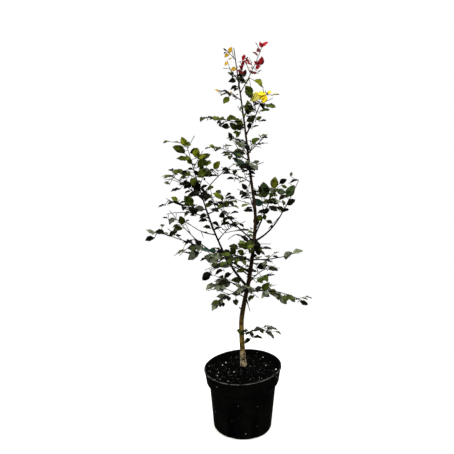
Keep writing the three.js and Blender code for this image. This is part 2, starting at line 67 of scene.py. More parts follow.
# The camera stands at eye height in front of the plant and looks down at it.
cameraSettings = {
    "position": (-0.0606, -2.477, 1.548),
    "pitchDown": 16.77,  # degrees
    "focalPixels": 723,
    "imageWidth": 454,
    "sensorWidth": 36,
}


def makeCamera():
    data = bpy.data.cameras.new("camera")
    data.sensor_width = cameraSettings["sensorWidth"]
    data.lens = cameraSettings["focalPixels"] * data.sensor_width / cameraSettings["imageWidth"]
    camera = linkObject("camera", data)
    camera.location = cameraSettings["position"]
    camera.rotation_euler = (math.radians(90 - cameraSettings["pitchDown"]), 0, 0)
    scene.camera = camera


makeCamera()
print("camera placed")


# Places in the photo, in pixels, and the points in mm that lie there.
pitch = math.radians(cameraSettings["pitchDown"])
eye = Vector(cameraSettings["position"]) / mm
ahead = Vector((0, math.cos(pitch), -math.sin(pitch)))
overhead = Vector((0, math.sin(pitch), math.cos(pitch)))
middlePixel = cameraSettings["imageWidth"] / 2


def pixelOf(point):
    away = point - eye
    scale = cameraSettings["focalPixels"] / away.dot(ahead)
    return middlePixel + away.x * scale, middlePixel - away.dot(overhead) * scale


def pointAtPixel(pixel, depth):
    offset = Vector((pixel[0] - middlePixel, 0, 0)) + overhead * (middlePixel - pixel[1])
    return eye + (ahead + offset / cameraSettings["focalPixels"]) * depth


def pointAtHeight(pixel, height):
    ray = pointAtPixel(pixel, 1) - eye
    return eye + ray * ((height - eye.z) / ray.z)


# Colours, nodes, and the effects that several materials share.
def linearColor(code):
    channels = [int(code[i:i + 2], 16) / 255 for i in (0, 2, 4)]
    return [c / 12.92 if c <= 0.04045 else ((c + 0.055) / 1.055) ** 2.4 for c in channels] + [1]


def setInputs(tree, node, inputs):
    # Each input takes a socket to be linked to, a hex colour or a plain value.
    for key, value in inputs.items():
        if isinstance(value, bpy.types.NodeSocket):
            tree.links.new(value, node.inputs[key])
        else:
            node.inputs[key].default_value = linearColor(value) if isinstance(value, str) else value


def addNode(tree, kind, inputs=None, **attributes):
    node = tree.nodes.new(kind)
    for key, value in attributes.items():
        setattr(node, key, value)
    setInputs(tree, node, inputs or {})
    return node


def mathNode(tree, operation, first, second=0.0):
    return addNode(tree, "ShaderNodeMath", {0: first, 1: second}, operation=operation).outputs[0]


def product(tree, first, second):
    return mathNode(tree, "MULTIPLY", first, second)


def blendNode(tree, share, first, second):
    return addNode(tree, "ShaderNodeMix", {0: share, 6: first, 7: second}, data_type="RGBA").outputs[2]


def rampNode(tree, value, low, high, toLow=0.0, toHigh=1.0):
    inputs = {"Value": value, "From Min": low, "From Max": high, "To Min": toLow, "To Max": toHigh}
    return addNode(tree, "ShaderNodeMapRange", inputs, interpolation_type="SMOOTHSTEP").outputs[0]


def noiseNode(tree, vector, scale, detail=3.0):
    inputs = {"Vector": vector, "Scale": scale, "Detail": detail, "Roughness": 0.55}
    return addNode(tree, "ShaderNodeTexNoise", inputs).outputs[0]


def newGroup(name, inputs, outputs):
    # Inputs and outputs give each socket's label and its kind: Float, Vector or Color.
    group = bpy.data.node_groups.new(name, "ShaderNodeTree")
    for way, sockets in (("INPUT", inputs), ("OUTPUT", outputs)):
        for label, kind in sockets.items():
            group.interface.new_socket(label, in_out=way, socket_type=f"NodeSocket{kind}")
    return group, group.nodes.new("NodeGroupInput").outputs, group.nodes.new("NodeGroupOutput").inputs


def placeGroup(tree, group, inputs):
    return addNode(tree, "ShaderNodeGroup", inputs, node_tree=group).outputs


mottleShape = {
    "fineness": 4.3,  # the fine noise's scale against the broad one's
    "fineShare": 0.3,
    "start": 0.16,  # the noise above which patches begin at full cover
    "range": 0.5,  # how much further up they begin at no cover
    "softness": 0.18,
}


def makeMottle():
    # Patches of a second colour over the first, in a broad noise and a fine one.
    shape = mottleShape
    kinds = {"Vector": "Vector", "First": "Color", "Second": "Color", "Scale": "Float", "Cover": "Float"}
    group, given, out = newGroup("mottle", kinds, {"Color": "Color", "Mask": "Float"})
    broad = noiseNode(group, given["Vector"], given["Scale"])
    fine = noiseNode(group, given["Vector"], product(group, given["Scale"], shape["fineness"]), 2)
    both = mathNode(group, "ADD", product(group, broad, 1 - shape["fineShare"]),
                    product(group, fine, shape["fineShare"]))
    bare = mathNode(group, "SUBTRACT", 1, given["Cover"])
    low = mathNode(group, "ADD", product(group, bare, shape["range"]), shape["start"])
    mask = rampNode(group, both, low, mathNode(group, "ADD", low, shape["softness"]))
    group.links.new(mask, out["Mask"])
    group.links.new(blendNode(group, mask, given["First"], given["Second"]), out["Color"])
    return group


speckShape = {"smallest": 0.6, "rim": 0.6}  # the smallest speck's size and a speck's solid middle, as shares


def makeSpecks():
    # Small round specks, each cell with one or none.
    kinds = {"Vector": "Vector", "Scale": "Float", "Size": "Float", "Share": "Float"}
    group, given, out = newGroup("specks", kinds, {"Mask": "Float"})
    cells = addNode(group, "ShaderNodeTexVoronoi", {"Vector": given["Vector"], "Scale": given["Scale"]})
    draw = addNode(group, "ShaderNodeSeparateColor", {0: cells.outputs["Color"]}).outputs[0]
    chosen = mathNode(group, "LESS_THAN", draw, given["Share"])
    size = product(group, given["Size"], mathNode(group, "ADD", draw, speckShape["smallest"]))
    near = rampNode(group, cells.outputs["Distance"], size, product(group, size, speckShape["rim"]))
    group.links.new(product(group, chosen, near), out["Mask"])
    return group


veinShape = {
    "veinRamp": (0.36, 0.5),  # where a side vein starts and is full, from midway between two veins
    "veinStrength": 0.75,
    "midribRamp": (0.12, 0.03),  # the same for the midrib, from its middle line
}


def makeVeins():
    # A midrib and pairs of side veins that lean towards the tip. U runs along the blade, V across.
    kinds = {"UV": "Vector", "Pairs": "Float", "Lean": "Float"}
    group, given, out = newGroup("veins", kinds, {"Mask": "Float", "Height": "Float"})
    axes = addNode(group, "ShaderNodeSeparateXYZ", {0: given["UV"]}).outputs
    side = product(group, mathNode(group, "ABSOLUTE", mathNode(group, "SUBTRACT", axes[1], 0.5)), 2)
    lean = product(group, side, given["Lean"])
    phase = product(group, mathNode(group, "SUBTRACT", axes[0], lean), given["Pairs"])
    wave = mathNode(group, "ABSOLUTE", mathNode(group, "SUBTRACT", mathNode(group, "FRACT", phase), 0.5))
    sideVeins = product(group, rampNode(group, wave, *veinShape["veinRamp"]), veinShape["veinStrength"])
    mask = mathNode(group, "MAXIMUM", sideVeins, rampNode(group, side, *veinShape["midribRamp"]))
    group.links.new(mask, out["Mask"])
    group.links.new(mathNode(group, "SUBTRACT", 1, mask), out["Height"])
    return group


mottle = makeMottle()
specks = makeSpecks()
veins = makeVeins()


def mottled(tree, vector, first, second, pattern):
    scale, cover = pattern
    return placeGroup(tree, mottle, {"Vector": vector, "First": first, "Second": second, "Scale": scale,
                                     "Cover": cover})


def specked(tree, vector, pattern):
    scale, size, share = pattern
    return placeGroup(tree, specks, {"Vector": vector, "Scale": scale, "Size": size, "Share": share})["Mask"]


def newMaterial(name):
    material = bpy.data.materials.new(name)
    material.use_nodes = True
    tree = material.node_tree
    coords = addNode(tree, "ShaderNodeTexCoord").outputs
    return material, tree, tree.nodes["Principled BSDF"], coords


def bumpNode(tree, shader, height, strength, distance):
    bump = addNode(tree, "ShaderNodeBump", {"Height": height, "Strength": strength, "Distance": distance})
    tree.links.new(bump.outputs[0], shader.inputs["Normal"])


def heightNode(tree, vector):
    return addNode(tree, "ShaderNodeSeparateXYZ", {0: vector}).outputs[2]


# The studio: a pale floor under a soft overhead sky, and two soft lights.
studio = {
    "zenith": 2.7,  # the room's light from above
    "horizon": 0.14,
    "below": 0.02,
    "skyRamp": (-0.05, 1),  # the heights between which the sky brightens from horizon to zenith
    "belowRamp": (-0.12, 0.02),  # where the light from below gives way to the sky's
    "skyColor": (1, 0.99, 0.95, 1),
    "backdropColor": (1, 1, 1, 1),
    "floorRadius": 1.2,
    "floorFade": (0.45, 1.1),  # the floor fades into the white room between these distances
    "floorColor": "e2e2e0",
    "floorBounce": "3a3a38",  # what the floor throws back up at the plant
    "floorGrain": 3,
    "floorGrainRamp": (0.3, 0.7, 0.97, 1),
    "floorRoughness": 0.9,
    "lights": [
        {"name": "key", "place": (-1.2, -2.6, 2.9), "size": 1.6, "power": 78},
        {"name": "rim", "place": (1.8, 1.6, 3.2), "size": 1.4, "power": 60},
    ],
    "aim": (0, 0, 0.8),
}


def makeRoom():
    # The camera sees a white backdrop, and the sky lights the rest.
    scene.view_settings.view_transform = "Standard"
    world = bpy.data.worlds.new("room")
    world.use_nodes = True
    tree = world.node_tree
    backdrop = tree.nodes["Background"]
    setInputs(tree, backdrop, {"Color": studio["backdropColor"], "Strength": 1})
    height = heightNode(tree, addNode(tree, "ShaderNodeTexCoord").outputs["Generated"])
    upper = rampNode(tree, height, *studio["skyRamp"], studio["horizon"], studio["zenith"])
    shared = rampNode(tree, height, *studio["belowRamp"])
    strength = addNode(tree, "ShaderNodeMix", {0: shared, 2: studio["below"], 3: upper}, data_type="FLOAT")
    skyInputs = {"Color": studio["skyColor"], "Strength": strength.outputs[0]}
    sky = addNode(tree, "ShaderNodeBackground", skyInputs)
    seen = addNode(tree, "ShaderNodeLightPath").outputs["Is Camera Ray"]
    both = addNode(tree, "ShaderNodeMixShader", {0: seen, 1: sky.outputs[0], 2: backdrop.outputs[0]})
    setInputs(tree, tree.nodes["World Output"], {"Surface": both.outputs[0]})
    scene.world = world


def makeLights():
    for light in studio["lights"]:
        data = bpy.data.lights.new(light["name"], "AREA")
        data.shape = "DISK"
        data.size = light["size"]
        data.energy = light["power"]
        lamp = linkObject(light["name"], data)
        lamp.location = light["place"]
        lamp.rotation_euler = (Vector(studio["aim"]) - lamp.location).to_track_quat("-Z", "Y").to_euler()


def makeFloor():
    material, tree, shader, coords = newMaterial("floor_paint")
    grain = noiseNode(tree, coords["Object"], studio["floorGrain"])
    shade = blendNode(tree, rampNode(tree, grain, *studio["floorGrainRamp"]), "000000", studio["floorColor"])
    seen = addNode(tree, "ShaderNodeLightPath").outputs["Is Camera Ray"]
    distance = addNode(tree, "ShaderNodeVectorMath", {0: coords["Object"]}, operation="LENGTH").outputs[1]
    near, far = studio["floorFade"]
    setInputs(tree, shader, {
        "Base Color": blendNode(tree, seen, studio["floorBounce"], shade),
        "Roughness": studio["floorRoughness"],
        "Alpha": rampNode(tree, distance, far, near),
    })
    bm = bmesh.new()
    bmesh.ops.create_circle(bm, cap_ends=True, segments=64, radius=studio["floorRadius"])
    mesh = bpy.data.meshes.new("floor")
    bm.to_mesh(mesh)
    bm.free()
    mesh.materials.append(material)
    linkObject("floor", mesh)


makeRoom()
makeLights()
makeFloor()
print("studio lit")


def addPiece(name, mesh, materials, slot, nodes=()):
    for material in materials:
        mesh.materials.append(material)
    mesh.shade_smooth()
    piece = linkObject(name, mesh)
    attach(piece, "root")
    if nodes:
        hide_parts(*nodes)
    mesh.calc_loop_triangles()
    print(f"{name}: {len(mesh.loop_triangles)} triangles")


def meshFrom(bm, name):
    # Works in millimetres until here, and in metres from here on.
    bmesh.ops.scale(bm, vec=(mm, mm, mm), verts=bm.verts)
    mesh = bpy.data.meshes.new(name)
    bm.to_mesh(mesh)
    bm.free()
    return mesh


def finishedMesh(holder):
    # The mesh that an object's modifiers or a curve's settings make. The object is taken away.
    bpy.context.view_layer.update()
    mesh = bpy.data.meshes.new_from_object(holder.evaluated_get(bpy.context.evaluated_depsgraph_get()))
    mesh.materials.clear()
    bpy.data.objects.remove(holder)
    return mesh


# The pot: a round nursery pot of thin black plastic, with a deep band below its lip.
pot = {
    "height": 250,
    "wall": 2,
    "footRadius": 107.5,
    "bodyLowRadius": 111.5,
    "bodyTopRadius": 125.5,
    "bodyTop": 176,
    "bandLowRadius": 137,
    "bandLow": 194,
    "bandTopRadius": 142.5,
    "bandTop": 243,
    "lipRadius": 145,
    "lipSlope": 1.5,  # how far the lip's underside rises outwards
    "lipThinning": 0.4,  # how much thinner the wall is at its very top
    "lipDepth": 4,  # how far down it is thinned
    "innerRise": 1,  # how much higher the bends are inside the wall
    "cornerHeight": 5,
    "floor": 2.5,
    "steps": 144,
    "squeeze": 0.07,  # how far the soft rim is out of round
    "squeezeHeading": 222,  # where the rim bulges most
    "footRounding": 1.2,
    "cornerRounding": 1.5,
    "lipRounding": 1.4,
    "edgeRounding": 0.7,
    "bendRounding": 5,
}
drain = {"count": 8, "width": 24, "height": 6.5, "depth": 8, "rounding": 1.5}


def squeezeRound(bm):
    for vert in bm.verts:
        angle = math.atan2(vert.co.y, vert.co.x) - math.radians(pot["squeezeHeading"])
        scale = 1 + pot["squeeze"] * (vert.co.z / pot["height"]) ** 2 * math.cos(2 * angle)
        vert.co.x *= scale
        vert.co.y *= scale


def revolve(profile):
    # Each corner is a radius, a height and the rounding it gets, and all are then spun about the axis.
    bm = bmesh.new()
    verts = [bm.verts.new((radius, 0, height)) for radius, height, _ in profile]
    for first, second in zip(verts, verts[1:]):
        bm.edges.new((first, second))
    for vert, (_, _, rounding) in zip(verts, profile):
        if rounding:
            bmesh.ops.bevel(bm, geom=[vert], affect="VERTICES", offset=rounding, segments=4, profile=0.5,
                            material=-1)
    bmesh.ops.spin(bm, geom=bm.verts[:] + bm.edges[:], axis=up, cent=(0, 0, 0), angle=2 * math.pi,
                   steps=pot["steps"], use_merge=True)
    bmesh.ops.remove_doubles(bm, verts=bm.verts, dist=1e-3)
    bmesh.ops.recalc_face_normals(bm, faces=bm.faces)
    return bm


def makeDrainCutter():
    cutter = bmesh.new()
    size = Matrix.Diagonal((2 * drain["depth"], drain["width"], 2 * drain["height"], 1))
    for i in range(drain["count"]):
        turn = Matrix.Rotation((i + 0.5) * 2 * math.pi / drain["count"], 4, "Z")
        place = turn @ Matrix.Translation((pot["footRadius"], 0, 0))
        bmesh.ops.create_cube(cutter, size=1, matrix=place @ size)
    bmesh.ops.bevel(cutter, geom=cutter.edges[:], affect="EDGES", offset=drain["rounding"], segments=3,
                    profile=0.5, material=-1)
    return meshFrom(cutter, "drain_slots")


def makePotMesh():
    p = pot
    wall, edge, bend = p["wall"], p["edgeRounding"], p["bendRounding"]
    bm = revolve([
        (0, 0, 0),
        (p["footRadius"], 0, p["footRounding"]),
        (p["bodyLowRadius"], p["cornerHeight"], p["cornerRounding"]),
        (p["bodyTopRadius"], p["bodyTop"], bend),
        (p["bandLowRadius"], p["bandLow"], bend),
        (p["bandTopRadius"], p["bandTop"], edge),
        (p["lipRadius"], p["bandTop"] + p["lipSlope"], edge),
        (p["lipRadius"], p["height"], p["lipRounding"]),
        (p["bandTopRadius"] - wall + p["lipThinning"], p["height"], edge),
        (p["bandTopRadius"] - wall, p["height"] - p["lipDepth"], 0),
        (p["bandLowRadius"] - wall, p["bandLow"] + p["innerRise"], bend),
        (p["bodyTopRadius"] - wall, p["bodyTop"] + p["innerRise"], bend),
        (p["bodyLowRadius"] - wall, p["floor"], 0),
        (0, p["floor"], 0),
    ])
    squeezeRound(bm)
    shell = linkObject("pot_shell", meshFrom(bm, "pot_shell"))
    slots = linkObject("drain_slots", makeDrainCutter())
    cut = shell.modifiers.new("drains", "BOOLEAN")
    cut.operation = "DIFFERENCE"
    cut.solver = "MANIFOLD"
    cut.object = slots
    finished = finishedMesh(shell)
    bpy.data.objects.remove(slots)
    return finished


potLook = {
    "black": "040404",
    "worn": "080807",
    "wear": (22, 0.4),  # scale and cover
    # The lip edge's paler grey is partly scuffed plastic and partly a painted highlight
    "scuffAndHighlight": "868787",
    "lip": (0.2485, 0.2495),  # heights in metres between which the lip's edge is painted paler: scuffed wear and a painted highlight
    "scuffAndHighlightScale": 75,
    "scuffAndHighlightRamp": (0.4, 0.62, 0.08, 1),
    "scuffAndHighlightShare": 0.28,
    "dust": "b0aca2",
    "specks": (45, 0.1, 0.75),  # scale, size and share
    "speckRamp": (0, 0.5, 0, 0.8),
    "splashScale": 9,  # the specks come where splashes dried
    "splashRamp": (0.4, 0.56),
    "film": 0.003,
    "roughness": (0.42, 0.56),
    "gloss": 0.008,
    "ripple": (160, 2),  # scale and detail
    "rippleBump": (0.12, 0.0006),  # strength and depth
}


def makePotPlastic():
    look = potLook
    material, tree, shader, coords = newMaterial("pot_plastic")
    place = coords["Object"]
    base = mottled(tree, place, look["black"], look["worn"], look["wear"])
    # The lip's top edge is painted a paler grey, patchy along its length: partly scuffed wear, partly a
    # painted highlight on the rounded bead.
    lip = rampNode(tree, heightNode(tree, place), *look["lip"])
    lipBandPatches = rampNode(tree, noiseNode(tree, place, look["scuffAndHighlightScale"]), *look["scuffAndHighlightRamp"])
    lipWearAndHighlight = product(tree, product(tree, lip, lipBandPatches), look["scuffAndHighlightShare"])
    worn = blendNode(tree, lipWearAndHighlight, base["Color"], look["scuffAndHighlight"])
    splash = rampNode(tree, noiseNode(tree, place, look["splashScale"]), *look["splashRamp"])
    spots = product(tree, specked(tree, place, look["specks"]), rampNode(tree, splash, *look["speckRamp"]))
    dusty = mathNode(tree, "MAXIMUM", spots, product(tree, splash, look["film"]))
    setInputs(tree, shader, {
        "Base Color": blendNode(tree, dusty, worn, look["dust"]),
        "Roughness": rampNode(tree, base["Mask"], 0, 1, *look["roughness"]),
        "Specular IOR Level": look["gloss"],
    })
    bumpNode(tree, shader, noiseNode(tree, place, *look["ripple"]), *look["rippleBump"])
    return material


# The soil: dark mix, a little crowned, with clods, grains of perlite and chips of bark.
soil = {
    "edge": 231,
    "crown": 236,
    "flatRadius": 62,
    "clearOfWall": 1,
    "clearOfFloor": 0.3,
    "ringStep": 2.2,
    "sunk": 0.8,
    "clodSize": 11,
    "clodHeight": 3.2,
    "grainSize": 3.4,
    "grainHeight": 1.5,
    "grainLayer": 50,  # where in the noise the grains are cut from
    "edgeWidth": 6,  # the rough surface calms down towards the wall, over this width
    "edgeRoughness": 0.35,
    "seed": 41,
}


def soilEdgeRadius():
    low = pot["bandLow"] + pot["innerRise"]
    share = (soil["edge"] - low) / (pot["height"] - low)
    wallRadius = pot["bandLowRadius"] + (pot["bandTopRadius"] - pot["bandLowRadius"]) * share
    return wallRadius - pot["wall"] - soil["clearOfWall"]


def soilHeight(x, y):
    radius = math.hypot(x, y)
    edge = soilEdgeRadius()
    fall = max(0, (radius - soil["flatRadius"]) / (edge - soil["flatRadius"]))
    level = soil["crown"] + (soil["edge"] - soil["crown"]) * fall - soil["sunk"]
    clods = noise.noise(Vector((x, y, 0)) / soil["clodSize"])
    grains = noise.noise(Vector((x, y, soil["grainLayer"])) / soil["grainSize"])
    rough = clods * soil["clodHeight"] + grains * soil["grainHeight"]
    return level + rough * min(1, (edge - radius) / soil["edgeWidth"] + soil["edgeRoughness"])


def makeSoilMesh():
    edge = soilEdgeRadius()
    bottom = pot["floor"] + soil["clearOfFloor"]
    inset = pot["wall"] + soil["clearOfWall"]
    rings = int(edge / soil["ringStep"])
    profile = [
        (0, bottom, 0),
        (pot["bodyLowRadius"] - inset, bottom, 0),
        (pot["bodyTopRadius"] - inset, pot["bodyTop"] + pot["innerRise"], 0),
        (pot["bandLowRadius"] - inset, pot["bandLow"] + pot["innerRise"], 0),
    ]
    profile += [(edge * (1 - i / rings), soil["edge"], 0) for i in range(rings + 1)]
    bm = revolve(profile)
    for vert in bm.verts:
        if vert.co.z > soil["edge"] - 1:
            vert.co.z = soilHeight(vert.co.x, vert.co.y)
    squeezeRound(bm)
    return meshFrom(bm, "soil")


soilLook = {
    "dark": "010101",
    "brown": "040302",
    "patches": (160, 0.35),  # scale and cover
    "pale": "3e3a34",
    "grit": (260, 0.3, 0.025),  # scale, size and share
    "gritStrength": 0.5,
    "roughness": (0.98, 0.85),
    "gloss": 0.01,
    "crumb": (900, 4),  # scale and detail
    "crumbBump": (0.7, 0.0012),  # strength and depth
}


def makeSoilMix():
    look = soilLook
    material, tree, shader, coords = newMaterial("soil_mix")
    place = coords["Object"]
    base = mottled(tree, place, look["dark"], look["brown"], look["patches"])
    grit = product(tree, specked(tree, place, look["grit"]), look["gritStrength"])
    setInputs(tree, shader, {
        "Base Color": blendNode(tree, grit, base["Color"], look["pale"]),
        "Roughness": rampNode(tree, base["Mask"], 0, 1, *look["roughness"]),
        "Specular IOR Level": look["gloss"],
    })
    bumpNode(tree, shader, noiseNode(tree, place, *look["crumb"]), *look["crumbBump"])
    return material


wordMask = 0xffffffff


def seededRandom(seed):
    # Draws numbers from 0 to 1, always the same ones for the same seed.
    state = seed

    def draw():
        nonlocal state
        state = (state + 0x6d2b79f5) & wordMask
        mixed = ((state ^ (state >> 15)) * (state | 1)) & wordMask
        mixed ^= (mixed + ((mixed ^ (mixed >> 7)) * (mixed | 61) & wordMask)) & wordMask
        return ((mixed ^ (mixed >> 14)) & wordMask) / (wordMask + 1)
    return draw


def templateArrays(bm):
    # A small shape as arrays, to be repeated: points, faces, the UV of each corner and the slot of each face.
    bm.verts.ensure_lookup_table()
    bm.verts.index_update()
    layer = bm.loops.layers.uv.active
    points = np.array([vert.co[:] for vert in bm.verts])
    faces = [[vert.index for vert in face.verts] for face in bm.faces]
    corners = [loop[layer].uv[:] for face in bm.faces for loop in face.loops] if layer else None
    slots = [face.material_index for face in bm.faces]
    bm.free()
    return {"points": points, "faces": faces, "corners": corners, "slots": slots}


def joinCopies(name, copies):
    # One mesh from many copies, each a template, a 3 by 3 array, a place and a tone from 0 to 1.
    points, faces, corners, slots, tones = [], [], [], [], []
    first = 0
    for template, turn, place, tone in copies:
        placed = template["points"] @ turn.T + place
        points.append(placed)
        faces.extend([[first + i for i in face] for face in template["faces"]])
        slots.extend(template["slots"])
        tones.append(np.full(len(placed), tone))
        if template["corners"]:
            corners.extend(template["corners"])
        first += len(placed)
    mesh = bpy.data.meshes.new(name)
    mesh.from_pydata((np.concatenate(points) * mm).tolist(), [], faces)
    mesh.polygons.foreach_set("material_index", slots)
    if corners:
        layer = mesh.uv_layers.new(name="blade")
        layer.data.foreach_set("uv", np.array(corners, np.float32).ravel())
    tone = mesh.attributes.new("tone", "FLOAT", "POINT")
    tone.data.foreach_set("value", np.concatenate(tones).astype(np.float32))
    mesh.update()
    return mesh


def axesArray(along, across, face, size):
    return np.array([along[:], across[:], face[:]]).T * size


litter = {
    "perlite": {"count": 46, "small": 0.6, "large": 1.5, "stretch": (1, 0.85, 0.7), "sunk": 0.3},
    "chips": {"count": 260, "small": 1.1, "large": 3.2, "stretch": (1.5, 0.7, 0.35), "sunk": 0.15},
    "shapes": 6,
    "lumps": (0.45, 1.6, 7.3),  # how deep and how fine, and the step from one shape's noise to the next's
    "clearOfTrunk": 17,
    "clearOfWall": 4,
    # Large grains that the photo shows, each as its pixel and its radius in mm.
    "largeGrains": [((226, 363.5), 3.4), ((222.5, 366), 2.4), ((217.5, 376), 2.8), ((218.5, 373), 1.8),
                    ((208.5, 366), 2.2), ((234, 373), 2.6), ((228, 381.5), 2.2), ((276, 370), 4.2),
                    ((266, 366), 2.2), ((264, 357), 2.2)],
}


def looseGrain(seed, stretch):
    # A rough pebble: an icosphere with its points pushed in and out.
    depth, fineness, apart = litter["lumps"]
    bm = bmesh.new()
    bmesh.ops.create_icosphere(bm, subdivisions=1, radius=1)
    for vert in bm.verts:
        vert.co *= 1 + depth * noise.noise(vert.co * fineness + Vector((seed * apart, 0, 0)))
        vert.co = Vector(a * b for a, b in zip(vert.co, stretch))
    bmesh.ops.recalc_face_normals(bm, faces=bm.faces)
    return templateArrays(bm)


def scatterLitter(kind, seed, shownGrains=()):
    settings = litter[kind]
    random = seededRandom(seed)
    templates = [looseGrain(i, settings["stretch"]) for i in range(litter["shapes"])]
    reach = soilEdgeRadius() - litter["clearOfWall"]
    foot = trunk["stations"][0][1:]
    spots = []
    for pixel, radius in shownGrains:
        place = pointAtHeight(pixel, soil["edge"])
        spots.append((*(place.xy * min(1, reach / place.xy.length)), radius))
    while len(spots) < settings["count"] + len(shownGrains):
        radius, angle = reach * math.sqrt(random()), 2 * math.pi * random()
        x, y = radius * math.cos(angle), radius * math.sin(angle)
        size = settings["small"] + (settings["large"] - settings["small"]) * random() ** 3
        if math.dist((x, y), foot) > litter["clearOfTrunk"]:
            spots.append((x, y, size))
    copies = []
    for i, (x, y, size) in enumerate(spots):
        turn = Matrix.Rotation(2 * math.pi * random(), 3, "Z") @ Matrix.Rotation(random() - 0.5, 3, "X")
        place = np.array((x, y, soilHeight(x, y) + size * settings["sunk"]))
        copies.append((templates[i % len(templates)], np.array(turn) * size, place, random()))
    return joinCopies(kind, copies)


# Perlite, bark chips and bud scales: two colours and the roughness of each.
grainColors = {
    "perlite_white": ("d8d6d0", "a8a49a", 0.85),
    "chip_brown": ("080604", "020202", 0.9),
    "bud_scales": ("5a3a20", "3a2414", 0.5),
}
grainLook = {"dirt": "3a332b", "patches": (500, 0.3), "crumb": (1500, 3), "crumbBump": (0.5, 0.0004)}


def toneNode(tree):
    return addNode(tree, "ShaderNodeAttribute", attribute_name="tone").outputs["Fac"]


def makeGrainMaterial(name):
    first, second, roughness = grainColors[name]
    material, tree, shader, coords = newMaterial(name)
    color = blendNode(tree, toneNode(tree), first, second)
    dirty = mottled(tree, coords["Object"], color, grainLook["dirt"], grainLook["patches"])
    setInputs(tree, shader, {"Base Color": dirty["Color"], "Roughness": roughness})
    bumpNode(tree, shader, noiseNode(tree, coords["Object"], *grainLook["crumb"]), *grainLook["crumbBump"])
    return material


# The trunk. Stations are heights and the centre's x and y, from the soil to the leader's tip.
trunk = {
    "stations": [
        (236.3, 3, 35), (330, -3, 34), (420, -6, 32), (480, 1, 30), (600, 22, 26),
        (740, 37, 20), (840, 41, 18), (990, 22, 18), (1180, -2, 12), (1424, -38, 6),
    ],
    "footRadius": 10.4,
    "tipRadius": 1.4,
    "flare": 1.8,  # extra radius of the root flare
    "flareHeight": 20,
    "lobes": 0.09,  # how far the root flare's lobes stand out, as a share of its radius
    "lobeCount": 4,
    "lobeTurn": 0.7,
    "lobeHeight": 16,
    "sides": 28,
    "ringStep": 2.6,
    "sunk": 6,  # how far the foot goes on below the soil's surface
}
snags = [
    {"height": 466, "heading": 185, "rise": 14, "reach": 15, "radius": 2},
    {"height": 524, "heading": 5, "rise": -62, "reach": 17, "radius": 1.8},
]
snagShape = {
    "sides": 10,
    "step": 2,
    "fewestSteps": 5,
    "taper": 0.35,
    "collar": 0.7,
    "collarLength": 4,
    "breakDepth": 2.4,  # how ragged the broken end is
    "breakFineness": 0.9,
    "breakMiddle": 0.4,
}
ground = trunk["stations"][0][0]
treeTop = trunk["stations"][-1][0]


def trunkCentre(z):
    s = trunk["stations"]
    last = len(s) - 2
    i = last if z >= treeTop else max(0, next(k for k, station in enumerate(s) if station[0] > z) - 1)

    def slope(j, axis):
        before, after = s[max(0, j - 1)], s[min(len(s) - 1, j + 1)]
        return (after[axis] - before[axis]) / (after[0] - before[0])

    span = s[i + 1][0] - s[i][0]
    t = (z - s[i][0]) / span

    def along(axis):
        ends = s[i][axis] * (1 + 2 * t) * (1 - t) ** 2 + s[i + 1][axis] * t * t * (3 - 2 * t)
        return ends + span * t * (1 - t) * (slope(i, axis) * (1 - t) - slope(i + 1, axis) * t)
    return Vector((along(1), along(2), z))


def trunkRadius(z):
    share = (z - ground) / (treeTop - ground)
    flare = trunk["flare"] * math.exp(min(0, (ground - z)) / trunk["flareHeight"])
    return trunk["footRadius"] + (trunk["tipRadius"] - trunk["footRadius"]) * share + flare


